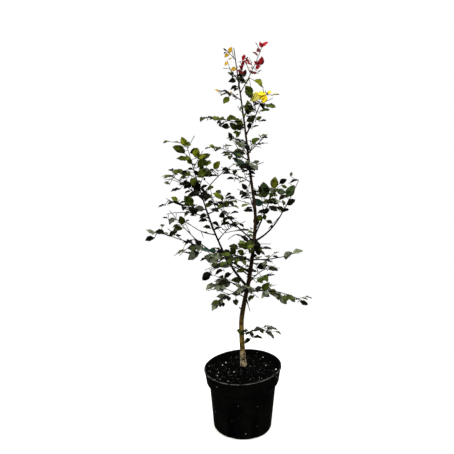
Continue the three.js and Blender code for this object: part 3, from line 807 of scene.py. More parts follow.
# Every shoot leaves the trunk at a height, or another shoot at a share of its length, and ends at its
# own tip. Heading is degrees from +X towards +Y, reach is level and rise is upright. Arch bows it up at
# the middle. Bare is the share of its length with no leaves, and foot the radius where it starts.
shootColumns = "name parent at heading reach rise arch bare foot twigs twigReach leaf roll finish".split()
shoots = [dict(zip(shootColumns, row)) for row in [
    ("low_sprig", "trunk", 365, -30, 140, 45, 12, 0, 1.7, 2, 46, 36, 10, "leaf_green"),
    ("low_left", "trunk", 520, -140, 155, 5, 30, 0, 2.2, 3, 66, 50, 15, "leaf_grey"),
    ("low_right", "trunk", 540, -25, 235, 0, 22, 0, 2.6, 5, 66, 50, -10, "leaf_grey"),
    ("low_left_front", "trunk", 545, -130, 215, 75, 30, 0, 2.6, 4, 80, 52, 0, "leaf_grey"),
    ("left_limb", "trunk", 560, 190, 220, 545, -84, 0.78, 5.4, 5, 84, 50, 75, "leaf_olive"),
    ("low_right_back", "trunk", 575, 45, 175, 15, 26, 0, 2.3, 3, 70, 50, 5, "leaf_green"),
    ("low_back_left", "trunk", 605, 145, 205, -20, 34, 0, 2.3, 4, 74, 50, 0, "leaf_green"),
    ("left_arm", "trunk", 620, 195, 340, 182, 14, 0.48, 3.6, 5, 80, 50, 15, "leaf_grey"),
    ("left_diagonal", "left_arm", 0.25, -145, 240, 224, -24, 0.4, 2.2, 4, 60, 42, 45, "leaf_green"),
    ("right_mid", "trunk", 670, 10, 190, 25, -12, 0, 2.4, 3, 58, 46, 0, "leaf_grey"),
    ("front_left", "trunk", 660, -120, 250, 75, 26, 0.3, 2.8, 4, 80, 52, 10, "leaf_green"),
    ("front_right", "trunk", 700, -85, 190, 85, 14, 0, 2.3, 3, 66, 50, 0, "leaf_green"),
    ("back_left", "trunk", 705, 115, 215, -20, 40, 0.3, 2.6, 4, 82, 50, 0, "leaf_green"),
    ("back_right", "trunk", 725, 80, 175, -60, 20, 0, 2.3, 3, 74, 50, 0, "leaf_green"),
    ("right_limb", "trunk", 740, -20, 160, 240, -42, 0.6, 3.8, 4, 62, 50, 80, "leaf_grey"),
    ("cross_limb", "trunk", 740, -160, 185, 205, -8, 0.55, 2.8, 4, 66, 44, 60, "leaf_green"),
    ("right_inner", "trunk", 760, 45, 100, 155, -6, 0.4, 2.6, 4, 66, 50, 70, "leaf_green"),
    ("mid_back", "trunk", 840, 100, 175, 60, 10, 0, 2.2, 4, 70, 48, 0, "leaf_green"),
    ("mid_left", "trunk", 960, 155, 115, 30, 6, 0, 1.6, 2, 46, 36, 10, "leaf_green"),
    ("mid_front", "trunk", 1000, -110, 120, 50, 8, 0, 1.9, 3, 56, 44, 0, "leaf_grey"),
    ("mid_right", "trunk", 1005, -50, 70, 40, 4, 0, 1.6, 2, 44, 42, 20, "leaf_grey"),
    ("upper_left", "trunk", 1040, -160, 140, 60, 8, 0, 2, 4, 56, 44, 15, "leaf_green"),
    ("upper_back", "trunk", 1050, 105, 120, 30, 6, 0, 1.8, 3, 54, 44, 0, "leaf_green"),
    ("upper_right", "trunk", 1065, -30, 75, 75, 0, 0, 1.8, 2, 40, 42, 30, "leaf_olive"),
    ("high_left", "trunk", 1100, -135, 90, 45, -6, 0, 1.6, 2, 42, 40, 20, "leaf_green"),
    ("right_top_limb", "trunk", 1130, 25, 75, 150, -8, 0.45, 2.4, 4, 50, 44, 80, "leaf_olive"),
    ("high_left_wing", "trunk", 1165, -160, 150, 35, 6, 0, 2, 4, 54, 44, 0, "leaf_olive"),
    ("high_front", "trunk", 1185, -80, 80, 62, 4, 0, 1.7, 2, 42, 42, 20, "leaf_green"),
    ("top_left", "trunk", 1250, -155, 85, 38, 8, 0, 1.4, 2, 32, 30, 30, "leaf_gold"),
    ("top_right", "trunk", 1275, 0, 75, 160, -10, 0.35, 1.6, 3, 34, 34, 80, "leaf_red"),
    ("top_back", "trunk", 1300, 75, 50, 95, 0, 0, 1.3, 2, 34, 28, 60, "leaf_red"),
    ("top_front", "trunk", 1310, -110, 75, 40, 4, 0, 1.3, 2, 40, 36, 20, "leaf_olive"),
    ("leader_tip", "trunk", 1385, -165, 35, 35, 0, 0, 1.1, 1, 26, 28, 40, "leaf_gold"),
    ("left_top_back", "left_limb", 0.76, 45, 155, 88, 12, 0.2, 2, 3, 60, 46, 10, "leaf_olive"),
    ("left_wing_high", "left_limb", 0.74, 160, 125, 80, 4, 0.2, 1.9, 3, 54, 42, 10, "leaf_olive"),
    ("left_wing_front", "left_limb", 0.69, -140, 165, 62, -10, 0.2, 2, 4, 60, 46, 10, "leaf_dark"),
    ("left_wing_mid", "left_limb", 0.64, 170, 158, 8, 14, 0.2, 2, 3, 58, 44, 5, "leaf_dark"),
    ("left_inner", "left_limb", 0.665, -45, 115, 70, -4, 0.2, 2, 3, 58, 46, 25, "leaf_olive"),
    ("left_inner_low", "left_limb", 0.5, 55, 115, 30, 10, 0.2, 1.9, 3, 56, 42, 10, "leaf_green"),
    ("left_wing_low", "left_limb", 0.54, -130, 155, 85, -12, 0.2, 2, 4, 60, 44, 10, "leaf_dark"),
]]
shootNamed = {shoot["name"]: shoot for shoot in shoots}
shootTipRadius = 1.4


def shootPoint(shoot, t):
    parent = shoot["parent"]
    start = trunkCentre(shoot["at"]) if parent == "trunk" else shootPoint(shootNamed[parent], shoot["at"])
    a = math.radians(shoot["heading"])
    lift = shoot["rise"] * t + shoot["arch"] * math.sin(math.pi * t)
    return start + Vector((math.cos(a), math.sin(a), 0)) * shoot["reach"] * t + up * lift


def shootRadius(shoot, t):
    return shoot["foot"] + (shootTipRadius - shoot["foot"]) * t


def direction(pointAt, t):
    step = 0.01
    return (pointAt(min(1, t + step)) - pointAt(max(0, t - step))).normalized()


def pathLength(pointAt, start, end):
    steps = 24
    points = [pointAt(start + (end - start) * i / steps) for i in range(steps + 1)]
    return sum((b - a).length for a, b in zip(points, points[1:]))


def sideways(along, angle):
    level = along.cross(up)
    if level.length < 0.05:  # the stem stands upright
        level = Vector((1, 0, 0))
    level.normalize()
    return level * math.cos(angle) + level.cross(along) * math.sin(angle)


# How twigs and leaves are spaced and turned, by the rule of the part's source.
growth = {
    "seed": 1000,
    "leafSpacing": 36,
    "wander": 22,  # how far a leaf or twig strays round its stem, to either side
    "twigZone": 0.85,
    "twigAngle": 48,
    "twigAngleSpread": 10,
    "twigLift": 0.3,
    "twigSink": 0.3,  # how far down the lift may turn, as a share of it
    "twigShorter": (1.1, 0.6),  # a twig's length, as a share, and how much shorter the last one is
    "twigSpread": (0.8, 0.4),  # the least share of that length, and how much more it may be
    "twigStep": 7,
    "twigGaps": (0.75, 0.4),  # where a twig's first leaf stands, and the room added at its tip, in gaps
    "twigLeaf": (0.92, 0.12),  # a leaf's size, as a share, and how much smaller the last one is
    "twigTip": (0.98, 0.85),  # where the leaf at the tip stands, and its size
    "stemLeaf": (1.04, 0.2),
    "stemTip": (0.985, 0.8),
    "clearOfOthers": 13,
    "clearOfOwn": 12,
    "clearOfLimb": 5,
    "limbEntry": 0.06,  # a leafy shoot counts as a twig from here on
    "stemGap": 0.4,
}
leafRule = {
    "width": 0.64,
    "outline": (0.85, 0.8),  # how far back the blade is widest, and how full it is
    "roomAlong": (0.1, 0.3, 0.5, 0.7, 0.9, 1),  # the places on a blade that need room round them
    "roomAcross": (-0.7, 0, 0.7),
    "angle": 56,
    "angleSpread": 12,
    "sizeSpread": 0.22,
    "rollSpread": 42,
    "droop": 0.17,
    "droopSpread": 0.27,
    "skyward": 0.75,
    "leastSkyward": 0.1,
    "tipLean": 0.6,
    "hangingLength": 24,
    "levelLength": 40,
    "turns": [(0, 0, 0), (18, 0.25, -35), (-18, -0.3, 35), (8, -0.5, 60)],  # lean, lift and roll
}
# The finer growth that the source leaves out: leaves between its leaves and short spurs between its twigs.
finer = {
    "seed": 5000,
    "leafShare": 0.86,  # the size of a real leaf as a share of the source's
    "smallestLeaf": 25,
    "betweenShare": 0.9,
    "betweenStart": 0.3,  # where a twig's first leaf between stands, in gaps
    "clearOfOthers": 5.5,
    "clearOfOwn": 5,
    "clearOfLimb": 2.5,
    "spurShare": 0.47,  # how many nodes of a stem bear a spur
    "twigSpurShare": 0.6,  # the same for a twig, against its stem
    "spurLength": (16, 34),
    "twigSpurSpread": 0.6,
    "spurLeaves": 2,
    "twigRadius": 1.4,
    "spurRadius": 1.05,
    "shortestSpur": 3,
    "tipShare": 0.7,  # the radius at a twig's tip, against its foot
}
cell = 20  # the room that is taken is kept in cubes of this size


def cellOf(point):
    return tuple(math.floor(c / cell) for c in point)


def claim(taken, point, radius, owner, kind):
    taken.setdefault(cellOf(point), []).append((point, radius, owner, kind))


def isCrowded(taken, rule, point, owner, forTwig):
    x, y, z = cellOf(point)
    for i in (x - 1, x, x + 1):
        for j in (y - 1, y, y + 1):
            for k in (z - 1, z, z + 1):
                for other, radius, otherOwner, kind in taken.get((i, j, k), ()):
                    if kind == "limb":
                        limit = radius + rule["clearOfLimb"]
                    elif otherOwner != owner:
                        limit = rule["clearOfOthers"]
                    else:
                        limit = 0 if kind == "twig" or forTwig else rule["clearOfOwn"]
                    if (point - other).length < limit:
                        return True
    return False


def bladeHalfWidth(s):
    back, full = leafRule["outline"]
    return 0.5 * leafRule["width"] * max(0, math.sin(math.pi * s ** back)) ** full


def bladePoints(leaf):
    across = leaf["along"].cross(leaf["face"])
    length = leaf["length"]
    return [leaf["foot"] + leaf["along"] * s * length + across * w * bladeHalfWidth(s) * length
            for s in leafRule["roomAlong"] for w in leafRule["roomAcross"]]


def spread(random, middle, reach):
    return middle + reach * (2 * random() - 1)


def makeLeaf(random, foot, along, side, length):
    # One leaf on a stem, turned to its side and then up towards the light, with other ways to turn.
    rule = leafRule
    angle = spread(random, rule["angle"], rule["angleSpread"])
    size = length * spread(random, 1, rule["sizeSpread"])
    roll = spread(random, 0, rule["rollSpread"])
    droop = spread(random, rule["droop"], rule["droopSpread"])
    age = (length - rule["hangingLength"]) / (rule["levelLength"] - rule["hangingLength"])
    skyward = rule["skyward"] * min(1, max(rule["leastSkyward"], age))
    towards = side if side else sideways(along, math.radians(roll))
    leaves = []
    for turnLean, lift, turnRoll in rule["turns"]:
        lean = math.radians(angle + turnLean if side else rule["tipLean"] * turnLean)
        way = along * math.cos(lean) + towards * math.sin(lean) + up * (lift - droop)
        way.normalize()
        face = along.cross(towards)
        if face.z < 0:
            face.negate()
        face += up * skyward
        face -= way * face.dot(way)
        face.normalize()
        face.rotate(Matrix.Rotation(math.radians(roll + turnRoll), 3, way))
        leaves.append({"foot": foot, "along": way, "face": face, "length": size})
    return leaves


def strayAngle(random):
    return math.radians(spread(random, 0, growth["wander"]))


def pointOnTwig(twig, t):
    return twig["foot"] + twig["way"] * twig["length"] * t


def fading(shares, t):
    # A share at the start of a stem, and how much less it is at the end.
    start, less = shares
    return start - less * t


def growTwig(random, leafLength, foot, along, side, length):
    angle = math.radians(spread(random, growth["twigAngle"], growth["twigAngleSpread"]))
    way = along * math.cos(angle) + side * math.sin(angle)
    way += up * growth["twigLift"] * (random() - growth["twigSink"])
    way.normalize()
    count = max(1, math.floor(length / growth["leafSpacing"] + 0.5))
    twig = {"foot": foot, "way": way, "length": length, "leaves": [], "count": count}
    first, last = growth["twigGaps"]
    for i in range(count):
        t = (i + first) / (count + last)
        row = sideways(way, i * math.pi + strayAngle(random))
        size = leafLength * fading(growth["twigLeaf"], t)
        twig["leaves"].append(makeLeaf(random, pointOnTwig(twig, t), way, row, size))
    tip, share = growth["twigTip"]
    twig["tip"] = makeLeaf(random, pointOnTwig(twig, tip), way, None, leafLength * share)
    return twig


def stemOf(shoot):
    # The leafy part of a shoot, as straight lengths of stem with a leaf node in the middle of each.
    def path(t):
        return shootPoint(shoot, t)

    start = shoot["bare"] + growth["stemGap"] / pathLength(path, 0, 1) if shoot["bare"] > 0 else 0
    nodes = max(3, math.floor(pathLength(path, start, 1) / growth["leafSpacing"] + 0.5))

    def shareAt(t):
        return start + (1 - start) * t

    def pointAt(t):
        i = min(nodes - 1, math.floor(t * nodes))
        return path(shareAt(i / nodes)).lerp(path(shareAt((i + 1) / nodes)), t * nodes - i)
    return {"pointAt": pointAt, "nodes": nodes, "radiusAt": lambda t: shootRadius(shoot, shareAt(t))}


def claimTwig(taken, rule, twig, owner):
    steps = math.ceil(twig["length"] / growth["twigStep"])
    points = [pointOnTwig(twig, i / steps) for i in range(2, steps + 1)]
    if any(isCrowded(taken, rule, point, owner, True) for point in points):
        return False
    for point in points:
        claim(taken, point, 1, owner, "twig")
    return True


def claimLeaf(taken, rule, turns, owner):
    for leaf in turns:
        points = bladePoints(leaf)
        if not any(isCrowded(taken, rule, point, owner, False) for point in points):
            for point in points:
                claim(taken, point, 0, owner, "blade")
            return leaf
    return None


def claimPath(taken, pointAt, radiusAt, start, end, owner, kind):
    steps = math.ceil(pathLength(pointAt, start, end) / growth["twigStep"])
    for i in range(steps + 1):
        t = start + (end - start) * i / steps
        claim(taken, pointAt(t), radiusAt(t), owner, kind)


def claimLimbs(taken):
    def height(share):
        return ground + (treeTop - ground) * share

    claimPath(taken, lambda s: trunkCentre(height(s)), lambda s: trunkRadius(height(s)), 0, 1, "trunk",
              "limb")
    for shoot in shoots:
        name, bare = shoot["name"], shoot["bare"]

        def pointAt(t):
            return shootPoint(shoot, t)

        def radiusAt(t):
            return shootRadius(shoot, t)

        if bare > 0:
            claimPath(taken, pointAt, radiusAt, 0, bare, name, "limb")
        claimPath(taken, pointAt, radiusAt, max(bare, growth["limbEntry"]), 1, name, "twig")


def rowSide(random, shoot, along, i):
    # Leaves and twigs stand in two rows along their shoot, on one side and the other in turn.
    return sideways(along, math.radians(shoot["roll"]) + i * math.pi + strayAngle(random))


def growFoliage(taken, shoot, stem, seed):
    # The source's own twigs and leaves of one shoot, with the same draws in the same order.
    random = seededRandom(seed)
    nodes = stem["nodes"]
    twigEvery = max(1, math.floor(growth["twigZone"] * nodes / shoot["twigs"]))
    least, more = growth["twigSpread"]
    twigs, leaves = [], []
    for i in range(nodes):
        t = (i + 0.5) / nodes
        along = direction(stem["pointAt"], t)
        side = rowSide(random, shoot, along, i)
        reach = shoot["twigReach"] * fading(growth["twigShorter"], t) * (least + more * random())
        bearsTwig = i % twigEvery == 0 and len(twigs) < shoot["twigs"]
        if bearsTwig:
            twigs.append(growTwig(random, shoot["leaf"], stem["pointAt"](t), along, side, reach))
        size = shoot["leaf"] * fading(growth["stemLeaf"], t)
        leaves.append(makeLeaf(random, stem["pointAt"](t), along, -side if bearsTwig else side, size))
    end, share = growth["stemTip"]
    tip = makeLeaf(random, stem["pointAt"](end), direction(stem["pointAt"], 1), None, shoot["leaf"] * share)
    name = shoot["name"]

    def keepLeaf(turns):
        return claimLeaf(taken, growth, turns, name)

    kept = [twig for twig in twigs if claimTwig(taken, growth, twig, name)]
    # The leaves at the tips have the first choice of room.
    tips = [keepLeaf(turns) for turns in [tip] + [twig["tip"] for twig in kept]]
    own = [keepLeaf(turns) for turns in leaves]
    others = [[keepLeaf(turns) for turns in twig["leaves"]] for twig in kept]
    return {
        "stemLeaves": [leaf for leaf in [tips[0]] + own if leaf],
        "twigs": [{**twig, "kept": [leaf for leaf in [tips[i + 1]] + others[i] if leaf]}
                  for i, twig in enumerate(kept)],
    }


# The leaves that the photo shows plainly, by shoot: the pixels of a leaf's stalk and tip, its length in
# mm, its tint, and how squarely it faces the front, from 0, level, to 1.
shownLeaves = {
    "left_limb": [
        ((186, 147), (181.5, 138), 38, "lime", 0.9), ((186, 147), (190.5, 144.5), 26, "olive", 0.5),
        ((185.5, 151), (174, 147), 46, "olive", 0.8), ((195.5, 158.5), (197.5, 148.5), 42, "lime", 1),
        ((196, 158), (204.5, 155.5), 34, "lime", 0.6), ((188, 160), (178, 156.5), 40, "olive", 0.6),
        ((193, 164), (186.5, 159.5), 30, "olive", 0.6), ((197, 167), (206, 161), 46, "green", 0.9),
        ((204, 165.5), (210.5, 162), 30, "olive", 0.6),
        ((169.5, 141.5), (163.5, 142.5), 24, "olive", 0.2), ((178, 142), (173, 141), 18, "grey", 0.3),
        ((194, 170), (187.5, 168.5), 24, "dark", 0.3), ((198, 176), (194, 170.5), 26, "dark", 0.5),
        ((200, 190), (195, 181), 40, "dark", 0.9), ((201, 195), (189, 194), 44, "dark", 0.3),
        ((205, 199), (199, 194), 30, "dark", 0.5), ((207, 214), (200, 217), 32, "dark", 0.4),
        ((206, 210), (193.5, 208.5), 44, "grey", 0.4), ((209, 221), (199, 220), 38, "dark", 0.2),
        ((212, 229), (204, 226), 34, "dark", 0.3), ((213, 231), (220, 226), 34, "dark", 0.3),
        ((202.5, 190), (206.5, 196.5), 30, "dark", 0.6), ((199, 193), (194.5, 186.5), 34, "dark", 0.8),
        ((196, 194.5), (187, 196.5), 38, "dark", 0.35), ((200, 188), (206, 184.5), 28, "dark", 0.35),
    ],
    "left_top_back": [
        ((213.5, 170), (220, 161.5), 40, "lime", 0.9), ((213, 172), (202.5, 174.5), 42, "olive", 0.6),
        ((211, 170), (202.5, 171), 36, "grey", 0.3), ((222.5, 168), (228, 168.5), 22, "dark", 0.3),
        ((205, 180.5), (204, 178), 14, "dark", 0.7),
    ],
    "left_wing_high": [
        ((169, 175), (161, 175.5), 30, "lime", 0.15), ((185, 172), (175, 171.5), 38, "olive", 0.3),
        ((187, 171.5), (183, 176.5), 28, "olive", 0.8), ((170, 183.5), (164.5, 182.5), 24, "grey", 0.6),
        ((188, 177.5), (180, 178.5), 32, "grey", 0.2), ((191, 183), (179.5, 184.5), 44, "dark", 0.4),
        ((192, 188), (184, 181), 38, "dark", 0.8), ((181, 188), (170.5, 191), 42, "dark", 0.25),
        ((199, 191), (192.5, 182), 42, "dark", 0.9), ((190.5, 182), (184.5, 188.5), 34, "dark", 0.7),
        ((186.5, 185), (179, 182), 30, "dark", 0.35),
    ],
    "left_wing_front": [
        ((194, 206), (184.5, 196), 52, "green", 0.8), ((178.5, 201.5), (171.5, 196.5), 30, "olive", 0.6),
        ((166, 204), (157.5, 207), 32, "dark", 0.15), ((175, 202.5), (167, 203.5), 28, "dark", 0.1),
    ],
    "left_wing_mid": [
        ((190, 210.5), (183.5, 215), 30, "olive", 0.4), ((168.5, 218.5), (162.5, 216), 24, "grey", 0.3),
        ((176, 220), (168, 218.5), 28, "dark", 0.2), ((196, 215), (190, 215.5), 24, "dark", 0.2),
    ],
    "left_diagonal": [
        ((184, 225), (180.5, 216.5), 40, "olive", 1), ((183.5, 228), (174, 229), 38, "green", 0.4),
        ((186, 221), (189, 220), 14, "dark", 0.5),
    ],
    "left_arm": [
        ((175.5, 231), (170, 236), 30, "dark", 0.5), ((166, 234), (155.5, 231), 42, "dark", 0.35),
        ((156, 234.5), (146.5, 229), 40, "grey", 0.35), ((155, 237), (145.5, 240.5), 38, "dark", 0.35),
        ((200, 248), (187, 246.5), 46, "teal", 0.5), ((201, 252), (186.5, 258), 54, "grey", 0.5),
        ((182, 252.5), (173, 253.5), 30, "dark", 0.05), ((210, 250), (202, 249), 36, "teal", 0.5),
        ((190, 242), (182.5, 241.5), 28, "dark", 0.2), ((217, 251), (209.5, 250.5), 34, "teal", 0.6),
        ((220, 262), (204, 256), 54, "grey", 0.5), ((221, 264), (213, 267.5), 36, "grey", 0.6),
        ((225, 251), (216.5, 253), 36, "dark", 0.5), ((227, 253), (232.5, 259), 36, "teal", 0.8),
    ],
    "left_inner": [
        ((221.5, 199), (215.5, 192.5), 38, "olive", 0.6), ((225.5, 196.5), (230.5, 193), 26, "dark", 0.4),
        ((206.5, 190), (214, 187.5), 36, "olive", 0.6), ((224, 199), (235, 197.5), 42, "dark", 0.3),
        ((216.5, 202), (225.5, 204.5), 36, "dark", 0.3), ((213, 203), (219.5, 207), 28, "dark", 0.4),
        ((210.5, 209), (219, 212), 36, "grey", 0.5),
    ],
    "left_inner_low": [
        ((211, 223), (219, 224.5), 34, "dark", 0.3), ((220, 226), (230, 222), 40, "dark", 0.3),
        ((222, 222), (228, 217), 30, "dark", 0.4), ((229, 224), (237, 226), 32, "dark", 0.3),
    ],
    "cross_limb": [
        ((229, 213), (221, 212), 34, "grey", 0.4), ((235, 218), (227, 219), 34, "dark", 0.3),
        ((238, 222), (231, 224), 30, "dark", 0.2), ((231, 213.5), (238, 211), 30, "dark", 0.3),
    ],
    "mid_left": [
        ((247, 190), (242.5, 184), 30, "dark", 0.7), ((240, 181), (234.5, 176), 30, "dark", 0.3),
        ((235, 179.5), (227.5, 177.5), 32, "dark", 0.2), ((232, 174), (223, 172), 36, "dark", 0.2),
        ((248, 193), (242, 195), 26, "dark", 0.3),
    ],
    "right_inner": [
        ((265, 199.5), (262.5, 181.5), 66, "lit", 1), ((273.5, 190), (275.5, 176.5), 50, "lime", 0.9),
        ((279, 184), (286, 179.5), 34, "dark", 0.7), ((276, 189.5), (284.5, 193), 38, "grey", 0.9),
        ((263, 205.5), (253.5, 199), 44, "teal", 0.8), ((266, 204), (276, 198.5), 40, "olive", 0.4),
        ((268, 210), (257, 212.5), 44, "dark", 0.35), ((262, 214), (256, 222), 38, "olive", 0.6),
        ((258, 226), (254.5, 217), 36, "dark", 0.7), ((266, 220.5), (272, 223), 28, "green", 0.5),
        ((268, 206), (277, 209), 38, "dark", 0.3), ((270, 208), (262.5, 213.5), 34, "dark", 0.5),
        ((281, 185.5), (287.5, 187), 24, "olive", 0.5), ((264, 213.5), (265.5, 220), 24, "olive", 0.6),
        ((255, 189), (254, 195), 24, "dark", 0.7),
    ],
    "right_limb": [
        ((286, 197.5), (293, 185.5), 52, "lit", 0.9), ((286, 205.5), (294.5, 199.5), 40, "dark", 0.5),
        ((278.5, 201), (287.5, 194.5), 40, "dark", 0.35), ((280, 209), (270, 206), 42, "dark", 0.3),
        ((280, 211.5), (288.5, 209), 34, "dark", 0.3), ((276, 207), (284, 210), 32, "dark", 0.4),
        ((289.5, 183.5), (297, 178.5), 34, "dark", 0.3), ((291, 176.5), (291.5, 172), 18, "grey", 0.6),
        ((269.5, 227.5), (273, 225.5), 16, "dark", 0.5),
    ],
    "right_top_limb": [
        ((263.5, 105), (275, 107.5), 48, "green", 0.25), ((258.5, 112), (269, 109.5), 42, "green", 0.25),
        ((259, 121), (266, 120.5), 28, "dark", 0.2), ((252, 128), (258, 125), 26, "dark", 0.3),
        ((255.5, 120), (260.5, 117), 24, "green", 0.6), ((246, 122), (254, 116.5), 38, "green", 0.7),
        ((249, 130), (250, 122.5), 28, "dark", 0.7), ((260.5, 104), (252.5, 104.5), 28, "dark", 0.15),
        ((260, 103), (256, 101), 20, "dark", 0.5), ((266.5, 93), (257.5, 94.5), 34, "yellow", 0.6),
        ((261, 92), (250, 100.5), 48, "pale", 0.8), ((266, 94), (262.3, 103), 34, "yellow", 0.7),
        ((265.5, 95), (259, 99.5), 28, "yellow", 0.6), ((267, 94.5), (271.5, 91), 20, "yellow", 0.7),
        ((271, 95), (280.5, 95), 34, "pale", 0),
    ],
    "high_front": [
        ((247.5, 115.5), (249, 103), 50, "green", 0.9), ((250, 114), (244.5, 111), 28, "dark", 0.7),
        ((252.5, 110), (248, 103.5), 30, "dark", 0.8), ((245, 127), (238, 128), 32, "dark", 0.5),
    ],
    "high_left_wing": [
        ((225.5, 120.5), (236, 118), 42, "olive", 0.55), ((222, 119.5), (211.5, 118), 42, "olive", 0.5),
        ((208, 118.5), (203, 117.5), 22, "grey", 0.4), ((230, 126.5), (222.5, 127.5), 34, "dark", 0.9),
        ((244, 125), (236, 121), 38, "olive", 0.8), ((238, 130), (230.5, 123.5), 38, "olive", 0.8),
        ((243, 129), (235, 126), 36, "green", 0.9), ((240, 133), (233, 133.5), 30, "olive", 0.5),
        ((221, 121), (217, 123.5), 18, "dark", 0.5), ((241, 120), (234, 120), 28, "olive", 0.6),
    ],
    "high_left": [
        ((243, 149), (235, 139.5), 38, "green", 0.25), ((232, 139.5), (229, 132.5), 28, "dark", 0.5),
        ((236, 138), (240, 132), 28, "green", 0.5),
    ],
    "upper_left": [
        ((231, 153), (221, 152.5), 36, "green", 0.25), ((215, 148.5), (210, 145), 26, "lime", 0.6),
        ((243, 157), (233, 153), 44, "teal", 0.7), ((240, 163), (233, 158), 36, "teal", 0.6),
        ((228, 149), (224.5, 147.5), 16, "dark", 0.4), ((243, 151), (232, 150), 36, "olive", 0.05),
    ],
    "mid_front": [
        ((243, 170), (240, 160), 42, "grey", 0.8), ((249, 170), (247, 161), 40, "grey", 0.8),
        ((245, 163), (238, 165.5), 32, "teal", 0.6),
    ],
    "mid_right": [
        ((252, 163), (258.5, 160.5), 26, "grey", 0.4), ((250, 170), (257.5, 166.5), 34, "grey", 0.6),
        ((249, 173), (254.5, 173), 24, "dark", 0.6),
    ],
    "upper_right": [
        ((251, 150), (244, 146), 34, "dark", 0.7), ((252, 145), (257.5, 138.5), 36, "green", 0.6),
        ((261, 137.5), (267.5, 138.5), 28, "olive", 0.5),
        ((260, 136.5), (266.5, 134.5), 26, "green", 0.3),
    ],
    "top_right": [
        ((261.5, 48), (267.5, 41.5), 30, "red", 0.3), ((261.5, 48), (260, 42), 22, "red", 0.4),
        ((259.5, 66), (262.5, 58.5), 32, "red", 1), ((258.5, 65), (254.5, 62), 20, "red", 0.8),
        ((255.5, 69.5), (259.5, 66), 22, "red", 0.9), ((257, 73), (262, 70.5), 22, "red", 0.2),
        ((253.5, 80), (262, 85.5), 40, "lime", 0.45), ((253, 95.5), (245, 86.5), 44, "green", 0.75),
        ((252, 68.5), (247, 67.5), 20, "gold", 0.3), ((247, 82), (250, 79), 18, "lime", 0.5),
    ],
    "top_back": [
        ((246.5, 59), (248.8, 64), 20, "red", 0.5), ((245, 58), (243.5, 55), 14, "red", 0.6),
        ((246, 61), (248, 57), 16, "red", 0.4),
    ],
    "leader_tip": [
        ((229, 54), (231.5, 48), 26, "gold", 0.5), ((229.5, 54), (225, 57.5), 24, "gold", 0.5),
        ((227, 52), (223, 49.5), 20, "dark", 0.4),
    ],
    "top_front": [
        ((227.5, 61.5), (225, 65.5), 18, "gold", 0.6), ((236.5, 68), (231.5, 71), 24, "gold", 0.9),
        ((243, 77), (239, 71.5), 28, "wine", 0.8), ((244, 76.5), (245.5, 70.5), 24, "wine", 0.8),
        ((239.5, 73.5), (243.5, 73), 16, "red", 0.8), ((236, 79.5), (229.5, 82), 30, "green", 0.9),
        ((233.5, 76.5), (229.5, 72.5), 22, "dark", 0.6), ((245.5, 83), (238, 78), 34, "dark", 0.5),
        ((246, 80), (241, 84), 24, "olive", 0.5), ((238.5, 86.5), (230.5, 88.5), 32, "dark", 0.3),
        ((238, 88), (234, 91), 20, "wine", 0.4),
    ],
    "top_left": [
        ((229, 96), (223.5, 104), 36, "olive", 0.8), ((219.5, 91.5), (215, 90), 20, "gold", 0.6),
        ((221, 92), (227.5, 91), 26, "dark", 0.2), ((237, 98.5), (231.5, 95.5), 24, "wine", 0.4),
    ],
    "low_left": [
        ((229, 297), (216.5, 295.5), 48, "grey", 0.5), ((220, 301), (211.5, 307.5), 44, "grey", 0.6),
        ((224, 299), (217, 303), 30, "grey", 0.6), ((222.5, 301.5), (223.5, 307), 20, "dark", 0.5),
        ((242, 293), (232, 294), 38, "grey", 0.4),
    ],
    "low_left_front": [
        ((231, 282), (222, 286), 42, "grey", 0.8), ((230, 280), (217, 281.5), 46, "grey", 0.6),
        ((222, 281), (214.5, 289), 44, "grey", 0.8), ((216, 284), (206, 286.5), 42, "grey", 0.5),
        ((241, 280), (232, 279), 38, "green", 0.6), ((246, 288), (239, 287), 28, "dark", 0.3),
    ],
    "low_back_left": [
        ((211, 272), (202.5, 281), 44, "dark", 0.9), ((224, 270), (214, 273), 38, "dark", 0.2),
        ((232, 273), (224, 277), 36, "dark", 0.3),
    ],
    "low_right": [
        ((279.5, 295.5), (286, 303.5), 42, "grey", 0.9), ((262.5, 291), (268.5, 283), 42, "green", 1),
        ((262, 291), (268.5, 296), 34, "grey", 0.7), ((268, 290), (277, 295.5), 42, "lime", 0.7),
        ((254, 289.5), (262, 287), 32, "grey", 0.3), ((288, 297), (293.5, 297.5), 22, "dark", 0.3),
        ((294, 299), (299, 299.5), 20, "green", 0.3), ((299, 301), (308, 303), 34, "dark", 0.3),
    ],
    "low_right_back": [
        ((256, 268), (267.5, 265), 44, "dark", 0.7), ((256, 282), (267, 279), 42, "green", 0.4),
        ((267, 269.5), (278.5, 269), 42, "dark", 0.25), ((262, 277.5), (275.5, 274.5), 44, "dark", -0.1),
    ],
    "right_mid": [
        ((283, 257), (292, 252), 38, "grey", 0.5), ((292, 253.5), (302.5, 249), 42, "grey", 0.45),
        ((279, 257), (272.5, 256), 28, "dark", 0.4), ((272, 262), (265, 259), 30, "dark", 0.3),
    ],
    "front_left": [
        ((239, 249), (231, 244.5), 38, "olive", 0.7), ((249, 249), (241, 242), 42, "green", 0.7),
        ((236, 255), (230.5, 247.5), 38, "green", 0.8), ((245, 254), (237, 251), 38, "olive", 0.6),
        ((221, 258), (212, 255), 40, "grey", 0.7), ((230, 263), (222, 266), 36, "grey", 0.7),
    ],
    "front_right": [
        ((257.5, 240.5), (257, 250.5), 42, "dark", 0.9), ((261, 249), (271.5, 247.5), 36, "dark", 0),
        ((250, 258), (257, 255), 32, "dark", 0.6),
    ],
    "low_sprig": [
        ((250.5, 338), (244.5, 341.5), 32, "dark", 0.2), ((252, 337.5), (262, 335.5), 42, "dark", 0.15),
        ((253, 331.5), (261.5, 327.5), 40, "grey", 0.35), ((265, 328.5), (277.5, 327), 48, "grey", 0),
        ((264, 331), (275, 336), 48, "grey", 0.05), ((244, 332.5), (237, 329.5), 34, "green", 0.8),
    ],
